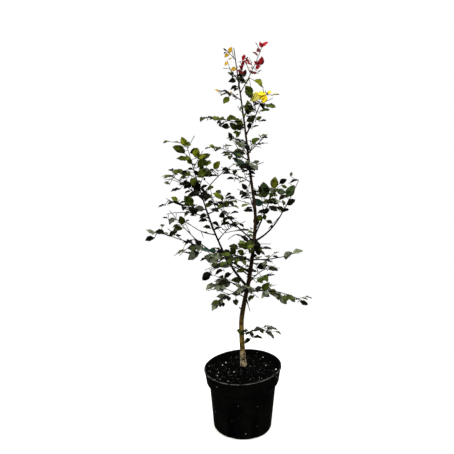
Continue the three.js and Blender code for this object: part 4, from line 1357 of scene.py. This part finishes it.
}

# Where the photo shows sky between the limbs, as the left, top, right and bottom pixels of boxes.
skyGaps = [
    (265, 213, 279, 219), (262, 224, 271, 231), (266, 233, 300, 245), (283, 212, 320, 246),
    (216, 175, 226, 190), (140, 243, 172, 275), (140, 190, 165, 196), (140, 208, 161, 227),
    (259, 143, 300, 158), (260, 160, 290, 172), (262, 123, 300, 133), (200, 60, 222, 88),
    (196, 86, 213, 114), (200, 106, 238, 114), (203, 131, 227, 143), (188, 128, 208, 147),
    (264, 54, 300, 80), (269, 30, 300, 60), (238, 30, 258, 53), (255, 306, 320, 325),
    (196, 310, 238, 325), (283, 259, 320, 288), (150, 262, 200, 320), (187, 226, 202, 240),
    (211, 195, 215, 200), (168, 237, 181, 250), (296, 183, 330, 215), (299, 160, 330, 183),
    (280, 160, 289, 177), (236, 189, 243, 203), (226, 182, 236, 192), (200, 310, 214, 330),
    (200, 260, 212, 270), (196, 270, 201, 300), (271, 278, 290, 287), (236, 298, 241, 312),
    (277, 306, 320, 330), (207, 230, 226, 241), (238, 232, 244, 240), (274, 96, 290, 103),
    (262, 49, 270, 58), (168, 205, 182, 216), (158, 198, 170, 203), (182, 227, 194, 241),
    (195, 219, 205, 232), (219, 231, 236, 241), (214, 171, 226, 181), (200, 146, 207, 151),
    (266, 240, 278, 251), (275, 258, 287, 272), (288, 206, 300, 214), (255, 96, 262, 101),
    (200, 286, 206, 296), (230, 287, 238, 292), (214, 305, 222, 312), (225, 303, 236, 312),
    (150, 176, 160, 200), (170, 192, 182, 196), (196, 196, 203, 206), (222, 206, 230, 211),
    (236, 199, 246, 204), (245, 214, 252, 222), (262, 172, 272, 180), (245, 176, 251, 183),
    (256, 104, 262, 110), (239, 96, 247, 103), (218, 235, 230, 242), (257, 296, 266, 306),
    (258, 238, 268, 249), (168, 253, 184, 262), (186, 218, 199, 228), (168, 210, 180, 219),
    (156, 226, 172, 230), (156, 235, 166, 242), (209, 204, 219, 210), (219, 199, 232, 203),
    (226, 215, 236, 220), (229, 226, 241, 230), (233, 232, 248, 238), (205, 176, 215, 186),
    (222, 172, 232, 178), (199, 230, 206, 247), (181, 242, 188, 251), (158, 201, 166, 205),
    (168, 203, 180, 208), (228, 280, 237, 286), (220, 289, 234, 296), (209, 290, 218, 297),
    (236, 293, 245, 301), (216, 266, 225, 274), (231, 267, 236, 272), (239, 252, 246, 258),
    (251, 294, 260, 300), (260, 270, 277, 277), (259, 258, 268, 264), (282, 250, 289, 255),
    (287, 256, 296, 261), (273, 284, 288, 289), (288, 291, 300, 296), (264, 82, 275, 91),
    (229, 141, 239, 150), (265, 138, 279, 144), (266, 131, 276, 135), (221, 162, 233, 167),
    (254, 147, 264, 152), (207, 143, 228, 147), (233, 86, 240, 91), (243, 99, 249, 106),
    (187, 146, 193, 153), (204, 152, 212, 159), (160, 209, 186, 216),
]

# How real leaves turn: level shoots hold them flat, and upright ones turn them to the light in front.
settling = {"droopLeft": 0.4, "flat": 0.62, "front": 0.5, "light": (0, -0.86, 0.5)}
shownStem = {"placesPerNode": 6, "start": 0.04, "reach": 0.95}  # the places where spurs may stand
bladeMiddle = 0.6  # the share of a leaf's length where it must not lie in the sky


def growShown(taken, shoot, stem):
    # Each shown leaf stands on a spur from the nearest place on its shoot's stem.
    sprays = []
    steps = stem["nodes"] * shownStem["placesPerNode"]
    places = [stem["pointAt"](shownStem["start"] + shownStem["reach"] * i / steps) for i in range(steps + 1)]
    for stalkPixel, tipPixel, length, tint, facing in shownLeaves.get(shoot["name"], []):
        root = min(places, key=lambda place: math.dist(pixelOf(place), stalkPixel))
        depth = (root - eye).dot(ahead)
        foot, tip = pointAtPixel(stalkPixel, depth), pointAtPixel(tipPixel, depth)
        along = tip - foot
        length = max(along.length, length)
        # A leaf that looks short for its length leans towards the front.
        along -= ahead * math.sqrt(length ** 2 - along.length ** 2)
        along.normalize()
        face = up.lerp(-ahead, facing)
        face -= along * face.dot(along)
        leaf = {"foot": foot, "along": along, "face": face.normalized(), "length": length}
        for point in bladePoints(leaf):
            claim(taken, point, 0, shoot["name"], "blade")
        spur = None
        way = foot - root
        if way.length > finer["shortestSpur"]:
            spur = {"foot": root, "way": way.normalized(), "length": way.length, "isSpur": True}
        sprays.append({"leaves": [leaf], "stem": spur, "tint": tint})
    return sprays


def isInSky(leaf):
    x, y = pixelOf(leaf["foot"] + leaf["along"] * leaf["length"] * bladeMiddle)
    return any(left < x < right and top < y < bottom for left, top, right, bottom in skyGaps)


def settleLeaf(shoot, leaf):
    isUpright = shoot["rise"] > shoot["reach"]
    along = leaf["along"].copy()
    if not isUpright:
        along.z *= settling["droopLeft"]
    along.normalize()
    towards, share = (Vector(settling["light"]), settling["front"]) if isUpright else (up, settling["flat"])
    face = leaf["face"].lerp(towards, share)
    face -= along * face.dot(along)
    return {**leaf, "along": along, "face": face.normalized()}


def realLeaf(shoot, leaf):
    length = max(finer["smallestLeaf"], leaf["length"] * finer["leafShare"])
    return settleLeaf(shoot, {**leaf, "length": length})


def growFiner(taken, shoot, stem, grown, seed):
    # Real leaves where the source has its own, and more between them, as sprays of stem and leaves.
    random = seededRandom(seed)
    name = shoot["name"]

    def keepLeaf(turns):
        settled = [settleLeaf(shoot, leaf) for leaf in turns]
        return claimLeaf(taken, finer, [leaf for leaf in settled if not isInSky(leaf)], name)

    def tryLeaf(spray, foot, along, side, length):
        leaf = keepLeaf(makeLeaf(random, foot, along, side, length))
        if leaf:
            spray["leaves"].append(leaf)

    sprays = [{"leaves": grown["stemLeaves"], "stem": None}]
    for twig in grown["twigs"]:
        sprays.append({"leaves": twig["kept"], "stem": twig})
    for spray in sprays:
        kept = [keepLeaf([realLeaf(shoot, leaf)]) for leaf in spray["leaves"]]
        spray["leaves"] = [leaf for leaf in kept if leaf]

    small = shoot["leaf"] * finer["leafShare"] * finer["betweenShare"]
    shortest, longest = finer["spurLength"]
    spurs = []
    nodes = stem["nodes"]
    for i in range(1, nodes):
        t = i / nodes
        along = direction(stem["pointAt"], t)
        side = rowSide(random, shoot, along, i)
        tryLeaf(sprays[0], stem["pointAt"](t), along, side, small)
        if random() < finer["spurShare"]:
            spurs.append((stem["pointAt"](t), along, -side, shortest + (longest - shortest) * random()))
    for spray in sprays[1:]:
        twig = spray["stem"]
        for i in range(twig["count"]):
            t = (i + finer["betweenStart"]) / (twig["count"] + growth["twigGaps"][1])
            side = sideways(twig["way"], (i + 1) * math.pi + strayAngle(random))
            tryLeaf(spray, pointOnTwig(twig, t), twig["way"], side, small)
            if random() < finer["spurShare"] * finer["twigSpurShare"]:
                length = shortest * (1 + random() * finer["twigSpurSpread"])
                spurs.append((pointOnTwig(twig, t), twig["way"], -side, length))
    for foot, along, side, length in spurs:
        spur = growTwig(random, small, foot, along, side, length)
        spur["isSpur"] = True
        if not claimTwig(taken, finer, spur, name):
            continue
        tip = keepLeaf(spur["tip"])
        kept = [keepLeaf(turns) for turns in spur["leaves"][:finer["spurLeaves"]]] + [tip]
        sprays.append({"leaves": [leaf for leaf in kept if leaf], "stem": spur})
    return [spray for spray in sprays if spray["leaves"] or not spray["stem"]]


sourceRoom = {}
finerRoom = {}
claimLimbs(sourceRoom)
claimLimbs(finerRoom)
foliage = []
for order, shoot in enumerate(shoots):
    stem = stemOf(shoot)
    foliage.append((shoot, stem, growFoliage(sourceRoom, shoot, stem, growth["seed"] + order)))
# The leaves that the photo shows have their room before the rest.
shown = {shoot["name"]: growShown(finerRoom, shoot, stem) for shoot, stem, _ in foliage}
foliage = [(shoot, stem,
            growFiner(finerRoom, shoot, stem, grown, finer["seed"] + order) + shown[shoot["name"]])
           for order, (shoot, stem, grown) in enumerate(foliage)]
print("grown:", sum(len(spray["leaves"]) for _, _, sprays in foliage for spray in sprays), "leaves on",
      sum(len(sprays) for _, _, sprays in foliage), "sprays")


# Trunk, boughs and snags, each drawn out ring by ring, with the bark's relief.
bark = {
    "rippleSize": 9,
    "ripple": 0.28,
    "grainSize": 2.2,
    "grain": 0.1,
    "grainStretch": 0.5,
    "nodeEvery": 31,  # faint rings where old leaves and bud scales were
    "nodeHeight": 0.35,
    "nodeWidth": 1.6,
    "nodePatch": 3,
    "thin": 4,  # limbs of less than this radius have less relief
    "trunkRelief": 1.6,
    "boughRelief": 1.2,
    "snagRelief": 2.2,
    "collar": 0.55,  # the swelling where a bough leaves its limb, as a share of its radius
    "collarLength": 7,
    "boughSides": 16,
    "boughStep": 3.2,
}


def drawLimb(bm, centres, radii, sides):
    # Rings from the first centre to the last, closed at both ends.
    way = (centres[1] - centres[0]).normalized()
    place = Matrix.Translation(centres[0]) @ up.rotation_difference(way).to_matrix().to_4x4()
    ring = bmesh.ops.create_circle(bm, cap_ends=True, segments=sides, radius=radii[0], matrix=place)["verts"]
    edges = list(dict.fromkeys(edge for vert in ring for edge in vert.link_edges))
    rings = [ring]
    for i in range(1, len(centres)):
        made = bmesh.ops.extrude_edge_only(bm, edges=edges)["geom"]
        ring = [item for item in made if isinstance(item, bmesh.types.BMVert)]
        edges = [item for item in made if isinstance(item, bmesh.types.BMEdge)
                 and all(vert in ring for vert in item.verts)]
        onward = (centres[min(i + 1, len(centres) - 1)] - centres[i - 1]).normalized()
        turn = way.rotation_difference(onward).to_matrix()
        share = radii[i] / radii[i - 1]
        for vert in ring:
            vert.co = centres[i] + turn @ (vert.co - centres[i - 1]) * share
        way = onward
        rings.append(ring)
    bmesh.ops.contextual_create(bm, geom=ring)
    return rings


def addRelief(rings, centres, radii, strength):
    travelled = list(accumulate([0] + [(b - a).length for a, b in zip(centres, centres[1:])]))
    stretch = Vector((1, 1, bark["grainStretch"]))
    for ring, centre, radius, distance in zip(rings, centres, radii, travelled):
        fromNode = (distance % bark["nodeEvery"]) - bark["nodeEvery"] / 2
        scar = math.exp(-fromNode ** 2 / bark["nodeWidth"])
        for vert in ring:
            at = vert.co
            push = bark["ripple"] * noise.noise(at / bark["rippleSize"])
            push += bark["grain"] * noise.noise(at * stretch / bark["grainSize"])
            push += bark["nodeHeight"] * scar * (0.5 + 0.5 * noise.noise(at / bark["nodePatch"]))
            vert.co += (at - centre).normalized() * push * strength * min(1, radius / bark["thin"])


def addSnag(bm, snag):
    shape = snagShape
    a = math.radians(snag["heading"])
    way = Vector((math.cos(a) * snag["reach"], math.sin(a) * snag["reach"], snag["rise"]))
    steps = max(shape["fewestSteps"], int(way.length / shape["step"]))
    shares = [i / steps for i in range(steps + 1)]
    centres = [trunkCentre(snag["height"]) + way * t for t in shares]
    wallShare = trunkRadius(snag["height"]) / snag["reach"]
    radii = []
    for t in shares:
        past = max(0, t - wallShare) * way.length
        swell = shape["collar"] * math.exp(-past / shape["collarLength"])
        radii.append(snag["radius"] * (1 - shape["taper"] * t) * (1 + swell))
    rings = drawLimb(bm, centres, radii, shape["sides"])
    addRelief(rings, centres, radii, bark["snagRelief"])
    for vert in rings[-1]:  # its broken end
        ragged = noise.noise(vert.co * shape["breakFineness"]) - shape["breakMiddle"]
        vert.co += way.normalized() * shape["breakDepth"] * ragged


def makeTrunkMesh():
    bm = bmesh.new()
    depth = treeTop - ground + trunk["sunk"]
    count = int(depth / trunk["ringStep"])
    heights = [ground - trunk["sunk"] + depth * i / count for i in range(count + 1)]
    centres = [trunkCentre(max(z, ground)) + up * min(0, z - ground) for z in heights]
    radii = [trunkRadius(z) for z in heights]
    rings = drawLimb(bm, centres, radii, trunk["sides"])
    for ring, centre, z in zip(rings, centres, heights):
        lobes = trunk["lobes"] * math.exp(min(0, (ground - z)) / trunk["lobeHeight"])
        for vert in ring:  # the root flare is lobed
            angle = math.atan2(vert.co.y - centre.y, vert.co.x - centre.x)
            bulge = math.sin(trunk["lobeCount"] * angle + trunk["lobeTurn"])
            vert.co = centre + (vert.co - centre) * (1 + lobes * bulge)
    addRelief(rings, centres, radii, bark["trunkRelief"])
    for snag in snags:
        addSnag(bm, snag)
    bmesh.ops.recalc_face_normals(bm, faces=bm.faces)
    return meshFrom(bm, "trunk_bark")


def collarAt(past):
    # How much thicker a bough is, as a share, this far past the bark that it grows from.
    return bark["collar"] * math.exp(-max(0, past) / bark["collarLength"])


def makeBoughMesh():
    bm = bmesh.new()
    for shoot in shoots:
        if shoot["bare"] == 0:
            continue
        length = pathLength(lambda t: shootPoint(shoot, t), 0, shoot["bare"])
        steps = int(length / bark["boughStep"])
        shares = [i / steps for i in range(steps + 1)]
        centres = [shootPoint(shoot, shoot["bare"] * t) for t in shares]
        if shoot["parent"] == "trunk":
            parentRadius = trunkRadius(shoot["at"])
        else:
            parentRadius = shootRadius(shootNamed[shoot["parent"]], shoot["at"])
        radii = [shootRadius(shoot, shoot["bare"] * t) * (1 + collarAt(length * t - parentRadius))
                 for t in shares]
        rings = drawLimb(bm, centres, radii, bark["boughSides"])
        addRelief(rings, centres, radii, bark["boughRelief"])
    bmesh.ops.recalc_face_normals(bm, faces=bm.faces)
    return meshFrom(bm, "bough_bark")


# Colours of bark, and the heights in metres between which one gives way to the next.
trunkLook = {"foot": "a69678", "low": "866c34", "lowPatch": "1c1407", "high": "2c1f0e", "highPatch": "0a0704",
             "lenticel": "b09a62", "footRamp": (0.27, 0.32), "highRamp": (0.36, 0.52)}
twigLook = {"foot": "140d08", "low": "140d08", "lowPatch": "060402", "high": "0e0906", "highPatch": "040202",
            "lenticel": "4a4030", "footRamp": (0.3, 0.4), "highRamp": (0.4, 0.9)}
barkPattern = {
    "lowPatches": (95, 0.5),  # scale and cover
    "highPatches": (70, 0.45),
    "lenticels": (230, 0.3, 0.22),  # scale, size and share
    "lenticelStretch": (1, 1, 3.2),
    "lenticelStrength": 0.55,
    "lenticelHeight": 0.8,
    "roughness": (0.62, 0.8),
    "gloss": 0.1,
    "fine": (700, 4),  # scale and detail
    "bump": (0.6, 0.0005),  # strength and depth
}


def makeBark(name, look):
    # Smooth young bark: mottled, paler and greyer near the soil, with pale lenticels across it.
    pattern = barkPattern
    material, tree, shader, coords = newMaterial(name)
    place = coords["Object"]
    height = heightNode(tree, place)
    plain = blendNode(tree, rampNode(tree, height, *look["footRamp"]), look["foot"], look["low"])
    lower = mottled(tree, place, plain, look["lowPatch"], pattern["lowPatches"])
    upper = mottled(tree, place, look["high"], look["highPatch"], pattern["highPatches"])
    skin = blendNode(tree, rampNode(tree, height, *look["highRamp"]), lower["Color"], upper["Color"])
    stretch = {"Vector": place, "Scale": pattern["lenticelStretch"]}
    flat = addNode(tree, "ShaderNodeMapping", stretch).outputs[0]
    dots = specked(tree, flat, pattern["lenticels"])
    paler = product(tree, dots, pattern["lenticelStrength"])
    setInputs(tree, shader, {
        "Base Color": blendNode(tree, paler, skin, look["lenticel"]),
        "Roughness": rampNode(tree, lower["Mask"], 0, 1, *pattern["roughness"]),
        "Specular IOR Level": pattern["gloss"],
    })
    raised = product(tree, dots, pattern["lenticelHeight"])
    relief = mathNode(tree, "ADD", noiseNode(tree, place, *pattern["fine"]), raised)
    bumpNode(tree, shader, relief, *pattern["bump"])
    return material


# Twigs, as one curve of many tapering strands that bend a little at each leaf, made into a mesh.
twigShape = {"bend": 0.55, "step": 18, "sides": 1, "stemTaper": 0.25, "seed": 7}


def addStrand(curve, points, radii, random):
    strand = curve.splines.new("POLY")
    strand.points.add(len(points) - 1)
    for i, (point, radius) in enumerate(zip(points, radii)):
        bend = 0 if i in (0, len(points) - 1) else twigShape["bend"] * (-1) ** i
        stray = Vector((random() - 0.5, random() - 0.5, random() - 0.5)) * bend * 2
        strand.points[i].co = ((point + stray) * mm)[:] + (1,)
        strand.points[i].radius = radius


def makeTwigMesh():
    random = seededRandom(twigShape["seed"])
    curve = bpy.data.curves.new("twigs", "CURVE")
    curve.dimensions = "3D"
    curve.bevel_depth = mm
    curve.bevel_resolution = twigShape["sides"]
    curve.use_fill_caps = True
    for shoot, stem, sprays in foliage:
        steps = stem["nodes"] * 2
        points = [stem["pointAt"](i / steps) for i in range(steps + 1)]
        radii = []
        for i, point in enumerate(points):
            swell = 0
            if shoot["bare"] == 0:
                swell = collarAt((point - points[0]).length - trunkRadius(shoot["at"]))
            radii.append(stem["radiusAt"](i / steps) * (1 - twigShape["stemTaper"] * i / steps) * (1 + swell))
        addStrand(curve, points, radii, random)
        for spray in sprays:
            twig = spray["stem"]
            if not twig:
                continue
            foot = finer["spurRadius"] if twig.get("isSpur") else finer["twigRadius"]
            count = max(2, round(twig["length"] / twigShape["step"]))
            points = [pointOnTwig(twig, i / count) for i in range(count + 1)]
            radii = [foot * (1 - (1 - finer["tipShare"]) * i / count) for i in range(count + 1)]
            addStrand(curve, points, radii, random)
    mesh = finishedMesh(linkObject("twigs", curve))
    bm = bmesh.new()
    bm.from_mesh(mesh)
    bmesh.ops.remove_doubles(bm, verts=bm.verts, dist=1e-6)
    bmesh.ops.recalc_face_normals(bm, faces=bm.faces)
    bm.to_mesh(mesh)
    bm.free()
    return mesh


# The leaf: a thin closed lens in the outline of a real one, with its stalk, modelled once for each pose.
leafShape = {
    "stations": (0, 0.1, 0.17, 0.3, 0.47, 0.64, 0.82, 1),
    "columns": 4,
    "stalk": 0.11,  # the stalk's share of the length
    "stalkHalfWidth": 0.012,
    "thickness": 0.011,
    "breadth": 0.96,  # of the real blade, against the source's
}
leafPoses = [
    {"fold": 0.3, "curl": 0.16, "wave": 0.03, "twist": 8, "sway": 0.03},
    {"fold": 0.45, "curl": 0.24, "wave": 0.034, "twist": -14, "sway": -0.04},
    {"fold": 0.15, "curl": 0.1, "wave": 0.036, "twist": 16, "sway": 0.02},
    {"fold": 0.6, "curl": 0.3, "wave": 0.03, "twist": -6, "sway": 0.05},
    {"fold": 0.1, "curl": 0.34, "wave": 0.04, "twist": 24, "sway": -0.03},
    {"fold": 0.36, "curl": 0.02, "wave": 0.038, "twist": -22, "sway": 0.01},
]


def modelLeaf(pose):
    bm = bmesh.new()
    stations = leafShape["stations"]
    last = len(stations) - 1
    bmesh.ops.create_grid(bm, x_segments=last, y_segments=leafShape["columns"], size=0.5)
    layer = bm.loops.layers.uv.new("blade")
    for face in bm.faces:
        for loop in face.loops:
            station = stations[round((loop.vert.co.x + 0.5) * last)]
            loop[layer].uv = (station, loop.vert.co.y + 0.5)
    for vert in bm.verts:
        order = round((vert.co.x + 0.5) * last)
        s, side = stations[order], 2 * vert.co.y
        blade = max(0, (s - leafShape["stalk"]) / (1 - leafShape["stalk"]))
        half = max(leafShape["stalkHalfWidth"] if s < 1 else 0, bladeHalfWidth(blade) * leafShape["breadth"])
        edge = abs(side) > 0.9
        wave = pose["wave"] * (-1) ** order * (1 if side > 0 else -1) if edge and 0 < blade < 1 else 0
        height = pose["fold"] * abs(side) * half - pose["curl"] * s * s + wave
        place = Vector((s, side * half + pose["sway"] * math.sin(math.pi * s), height))
        place.rotate(Matrix.Rotation(math.radians(pose["twist"]) * s, 3, "X"))
        vert.co = place
    under = bmesh.ops.duplicate(bm, geom=bm.verts[:] + bm.edges[:] + bm.faces[:])["geom"]
    underFaces = [item for item in under if isinstance(item, bmesh.types.BMFace)]
    underVerts = [item for item in under if isinstance(item, bmesh.types.BMVert)]
    bmesh.ops.reverse_faces(bm, faces=underFaces)
    for face in underFaces:
        face.material_index = 1
    for vert in underVerts:
        if not vert.is_boundary:
            vert.co.z -= leafShape["thickness"]
    bmesh.ops.remove_doubles(bm, verts=bm.verts, dist=1e-5)
    return templateArrays(bm)


# Leaf colours. Each spray takes one of the tints that its shoot deals out. Several tints paint light and
# shade into the leaf colour, as noted at each.
# The underside colours of the green, grey and olive tints are darker than a real leaf's paler underside:
# painted shade. Each underside colour also colours the veins on its top skin.
tintColumns = ("slot", "top", "deep", "under", "roughness", "gloss", "relief")
leafTints = {tint: dict(zip(tintColumns, row)) for tint, row in {
    "green": ("leaf_green", "445410", "080b02", "141a06", 0.42, 0.05, 0.5),
    # lit: a lighter copy of green, painted light for leaves that face the front.
    "lit": ("leaf_green", "566e36", "121c08", "2a3a1a", 0.45, 0.05, 0.5),
    # teal and grey: the green paled by a painted reflection of the bright sky on the leaf's gloss.
    "teal": ("leaf_green", "3a5a46", "0a1810", "1e3226", 0.4, 0.08, 0.5),
    "grey": ("leaf_grey", "7a8466", "0a0c07", "2a2f22", 0.36, 0.12, 0.5),
    "olive": ("leaf_olive", "54610e", "0a0d01", "1c2205", 0.46, 0.04, 0.5),
    # lime: a lighter copy of olive, painted light.
    "lime": ("leaf_olive", "80861a", "262a04", "4c5410", 0.46, 0.04, 0.5),
    # dark: a near-black copy of the leaf colour, painted shade for leaves that lie in shadow.
    "dark": ("leaf_dark", "191707", "010100", "050401", 0.42, 0.02, 0.5),
    "yellow": ("leaf_gold", "f8e62a", "ecc814", "f0de34", 0.45, 0.08, 0.1),
    "pale": ("leaf_gold", "f6ee7c", "f0e462", "f2e870", 0.45, 0.08, 0.1),
    "gold": ("leaf_gold", "d8b02a", "94700f", "bc9a34", 0.45, 0.06, 0.5),
    "red": ("leaf_red", "a4161e", "4c0a10", "8a2420", 0.42, 0.06, 0.5),
    "wine": ("leaf_red", "54241c", "180a08", "3a1814", 0.42, 0.05, 0.5),
}.items()}
# Most deals give the dark copy, painted shade, to a share of the sprays.
tintDeals = {
    "leaf_green": [("green", 0.42), ("dark", 0.4), ("grey", 0.1), ("olive", 0.08)],
    "leaf_grey": [("grey", 0.46), ("green", 0.28), ("dark", 0.26)],
    "leaf_olive": [("olive", 0.45), ("green", 0.23), ("dark", 0.32)],
    "leaf_dark": [("dark", 0.68), ("green", 0.22), ("olive", 0.1)],
    "leaf_gold": [("gold", 0.55), ("olive", 0.25), ("wine", 0.2)],
    "leaf_red": [("red", 0.72), ("wine", 0.28)],
    "right_top_limb": [("green", 0.55), ("dark", 0.25), ("olive", 0.2)],
    "mid_front": [("green", 0.38), ("dark", 0.42), ("grey", 0.2)],
    "mid_right": [("green", 0.3), ("dark", 0.5), ("grey", 0.2)],
}
leafLook = {
    "blotches": (60, 0.42),  # scale and cover
    "veinPairs": 8,
    "veinLean": 0.28,
    "veinStrength": 0.3,
    "sheen": (45, 2),  # patches of more and less gloss
    "sheenRamp": (0.3, 0.7),
    "smoother": 0.06,
    "rougher": 0.1,
    "underRoughness": 0.65,
    "underGloss": 0.04,
    "veinDepth": 0.0006,
    "seed": 90,
}


def makeLeafSkin(name, light, deep, vein, roughness, gloss, relief):
    look = leafLook
    material, tree, shader, coords = newMaterial(name)
    place = coords["Object"]
    base = blendNode(tree, toneNode(tree), light, deep)
    blotch = mottled(tree, place, base, deep, look["blotches"])
    ribs = placeGroup(tree, veins, {"UV": coords["UV"], "Pairs": look["veinPairs"], "Lean": look["veinLean"]})
    veined = product(tree, ribs["Mask"], look["veinStrength"])
    sheen = noiseNode(tree, place, *look["sheen"])
    setInputs(tree, shader, {
        "Base Color": blendNode(tree, veined, blotch["Color"], vein),
        "Roughness": rampNode(tree, sheen, *look["sheenRamp"], roughness - look["smoother"],
                              roughness + look["rougher"]),
        "Specular IOR Level": gloss,
    })
    bumpNode(tree, shader, ribs["Height"], relief, look["veinDepth"])
    return material


def dealTint(deal, draw):
    for tint, share in deal:
        draw -= share
        if draw < 0:
            return tint
    return deal[-1][0]


def makeLeafPieces():
    random = seededRandom(leafLook["seed"])
    templates = [modelLeaf(pose) for pose in leafPoses]
    copies = {tint: [] for tint in leafTints}
    for shoot, _, sprays in foliage:
        deal = tintDeals.get(shoot["name"], tintDeals[shoot["finish"]])
        for spray in sprays:
            draw = random()
            tint = spray.get("tint") or dealTint(deal, draw)
            for leaf in spray["leaves"]:
                template = templates[int(random() * len(templates))]
                across = leaf["face"].cross(leaf["along"])
                turn = axesArray(leaf["along"], across, leaf["face"], leaf["length"])
                copies[tint].append((template, turn, np.array(leaf["foot"][:]), random()))
    for tint, look in leafTints.items():
        top, deep, under, relief, slot = (look[key] for key in ("top", "deep", "under", "relief", "slot"))
        # Each tint has a top skin and an underside skin, and the underside's dark colour is painted shade.
        skins = [makeLeafSkin(f"leaf_{tint}_top", top, deep, under, look["roughness"], look["gloss"], relief),
                 makeLeafSkin(f"leaf_{tint}_under", under, deep, top, leafLook["underRoughness"],
                              leafLook["underGloss"], relief)]
        # The piece whose tint has its slot's name replaces that slot's masses of foliage.
        nodes = []
        if slot == f"leaf_{tint}":
            nodes = [f"foliage_{s['name']}" for s in shoots if s["finish"] == slot]
        addPiece(f"leaves_{tint}", joinCopies(f"leaves_{tint}", copies[tint]), skins, slot, nodes)


buds = {
    "sideLength": 6,
    "tipLength": 9,
    "lengthSpread": (0.7, 0.5),  # the least share of that length, and how much more it may be
    "halfWidth": 0.17,
    "share": 0.55,
    "lean": 0.7,
    "tipPlace": 0.97,
    "stations": (0, 0.3, 0.65, 1),
    "radii": (0.6, 1, 0.75, 0.12),
    "sides": 5,
    "seed": 17,
}


def modelBud():
    bm = bmesh.new()
    drawLimb(bm, [Vector((x, 0, 0)) for x in buds["stations"]], buds["radii"], buds["sides"])
    bmesh.ops.recalc_face_normals(bm, faces=bm.faces)
    return templateArrays(bm)


def makeBudMesh():
    random = seededRandom(buds["seed"])
    template = modelBud()
    least, more = buds["lengthSpread"]
    copies = []

    def addBud(foot, way, length):
        across = sideways(way, 0)
        size = length * (least + more * random())
        turn = axesArray(way, across * buds["halfWidth"], way.cross(across) * buds["halfWidth"], size)
        copies.append((template, turn, np.array(foot[:]), random()))

    for _, _, sprays in foliage:
        for spray in sprays:
            twig = spray["stem"]
            if twig:
                addBud(pointOnTwig(twig, buds["tipPlace"]), twig["way"], buds["tipLength"])
            for leaf in spray["leaves"]:
                if random() < buds["share"]:
                    way = (leaf["along"] + leaf["face"] * buds["lean"]).normalized()
                    addBud(leaf["foot"], way, buds["sideLength"])
    return joinCopies("buds", copies)


addPiece("nursery_pot", makePotMesh(), [makePotPlastic()], "pot", ["pot"])
addPiece("potting_soil", makeSoilMesh(), [makeSoilMix()], "soil", ["soil"])
perlite = scatterLitter("perlite", soil["seed"], litter["largeGrains"])
addPiece("perlite", perlite, [makeGrainMaterial("perlite_white")], "soil")
chips = scatterLitter("chips", soil["seed"] + 1)
addPiece("bark_chips", chips, [makeGrainMaterial("chip_brown")], "soil")
print("pot and soil made")

boughNodes = [f"bough_{s['name']}" for s in shoots if s["bare"] > 0]
addPiece("trunk_bark", makeTrunkMesh(), [makeBark("trunk_bark", trunkLook)], "bark", ["trunk"])
twigBark = makeBark("twig_bark", twigLook)
addPiece("bough_bark", makeBoughMesh(), [twigBark], "bark", boughNodes)
addPiece("twigs", makeTwigMesh(), [twigBark], "bark")
addPiece("buds", makeBudMesh(), [makeGrainMaterial("bud_scales")], "bark")
print("wood made")
makeLeafPieces()
print("leaves made")
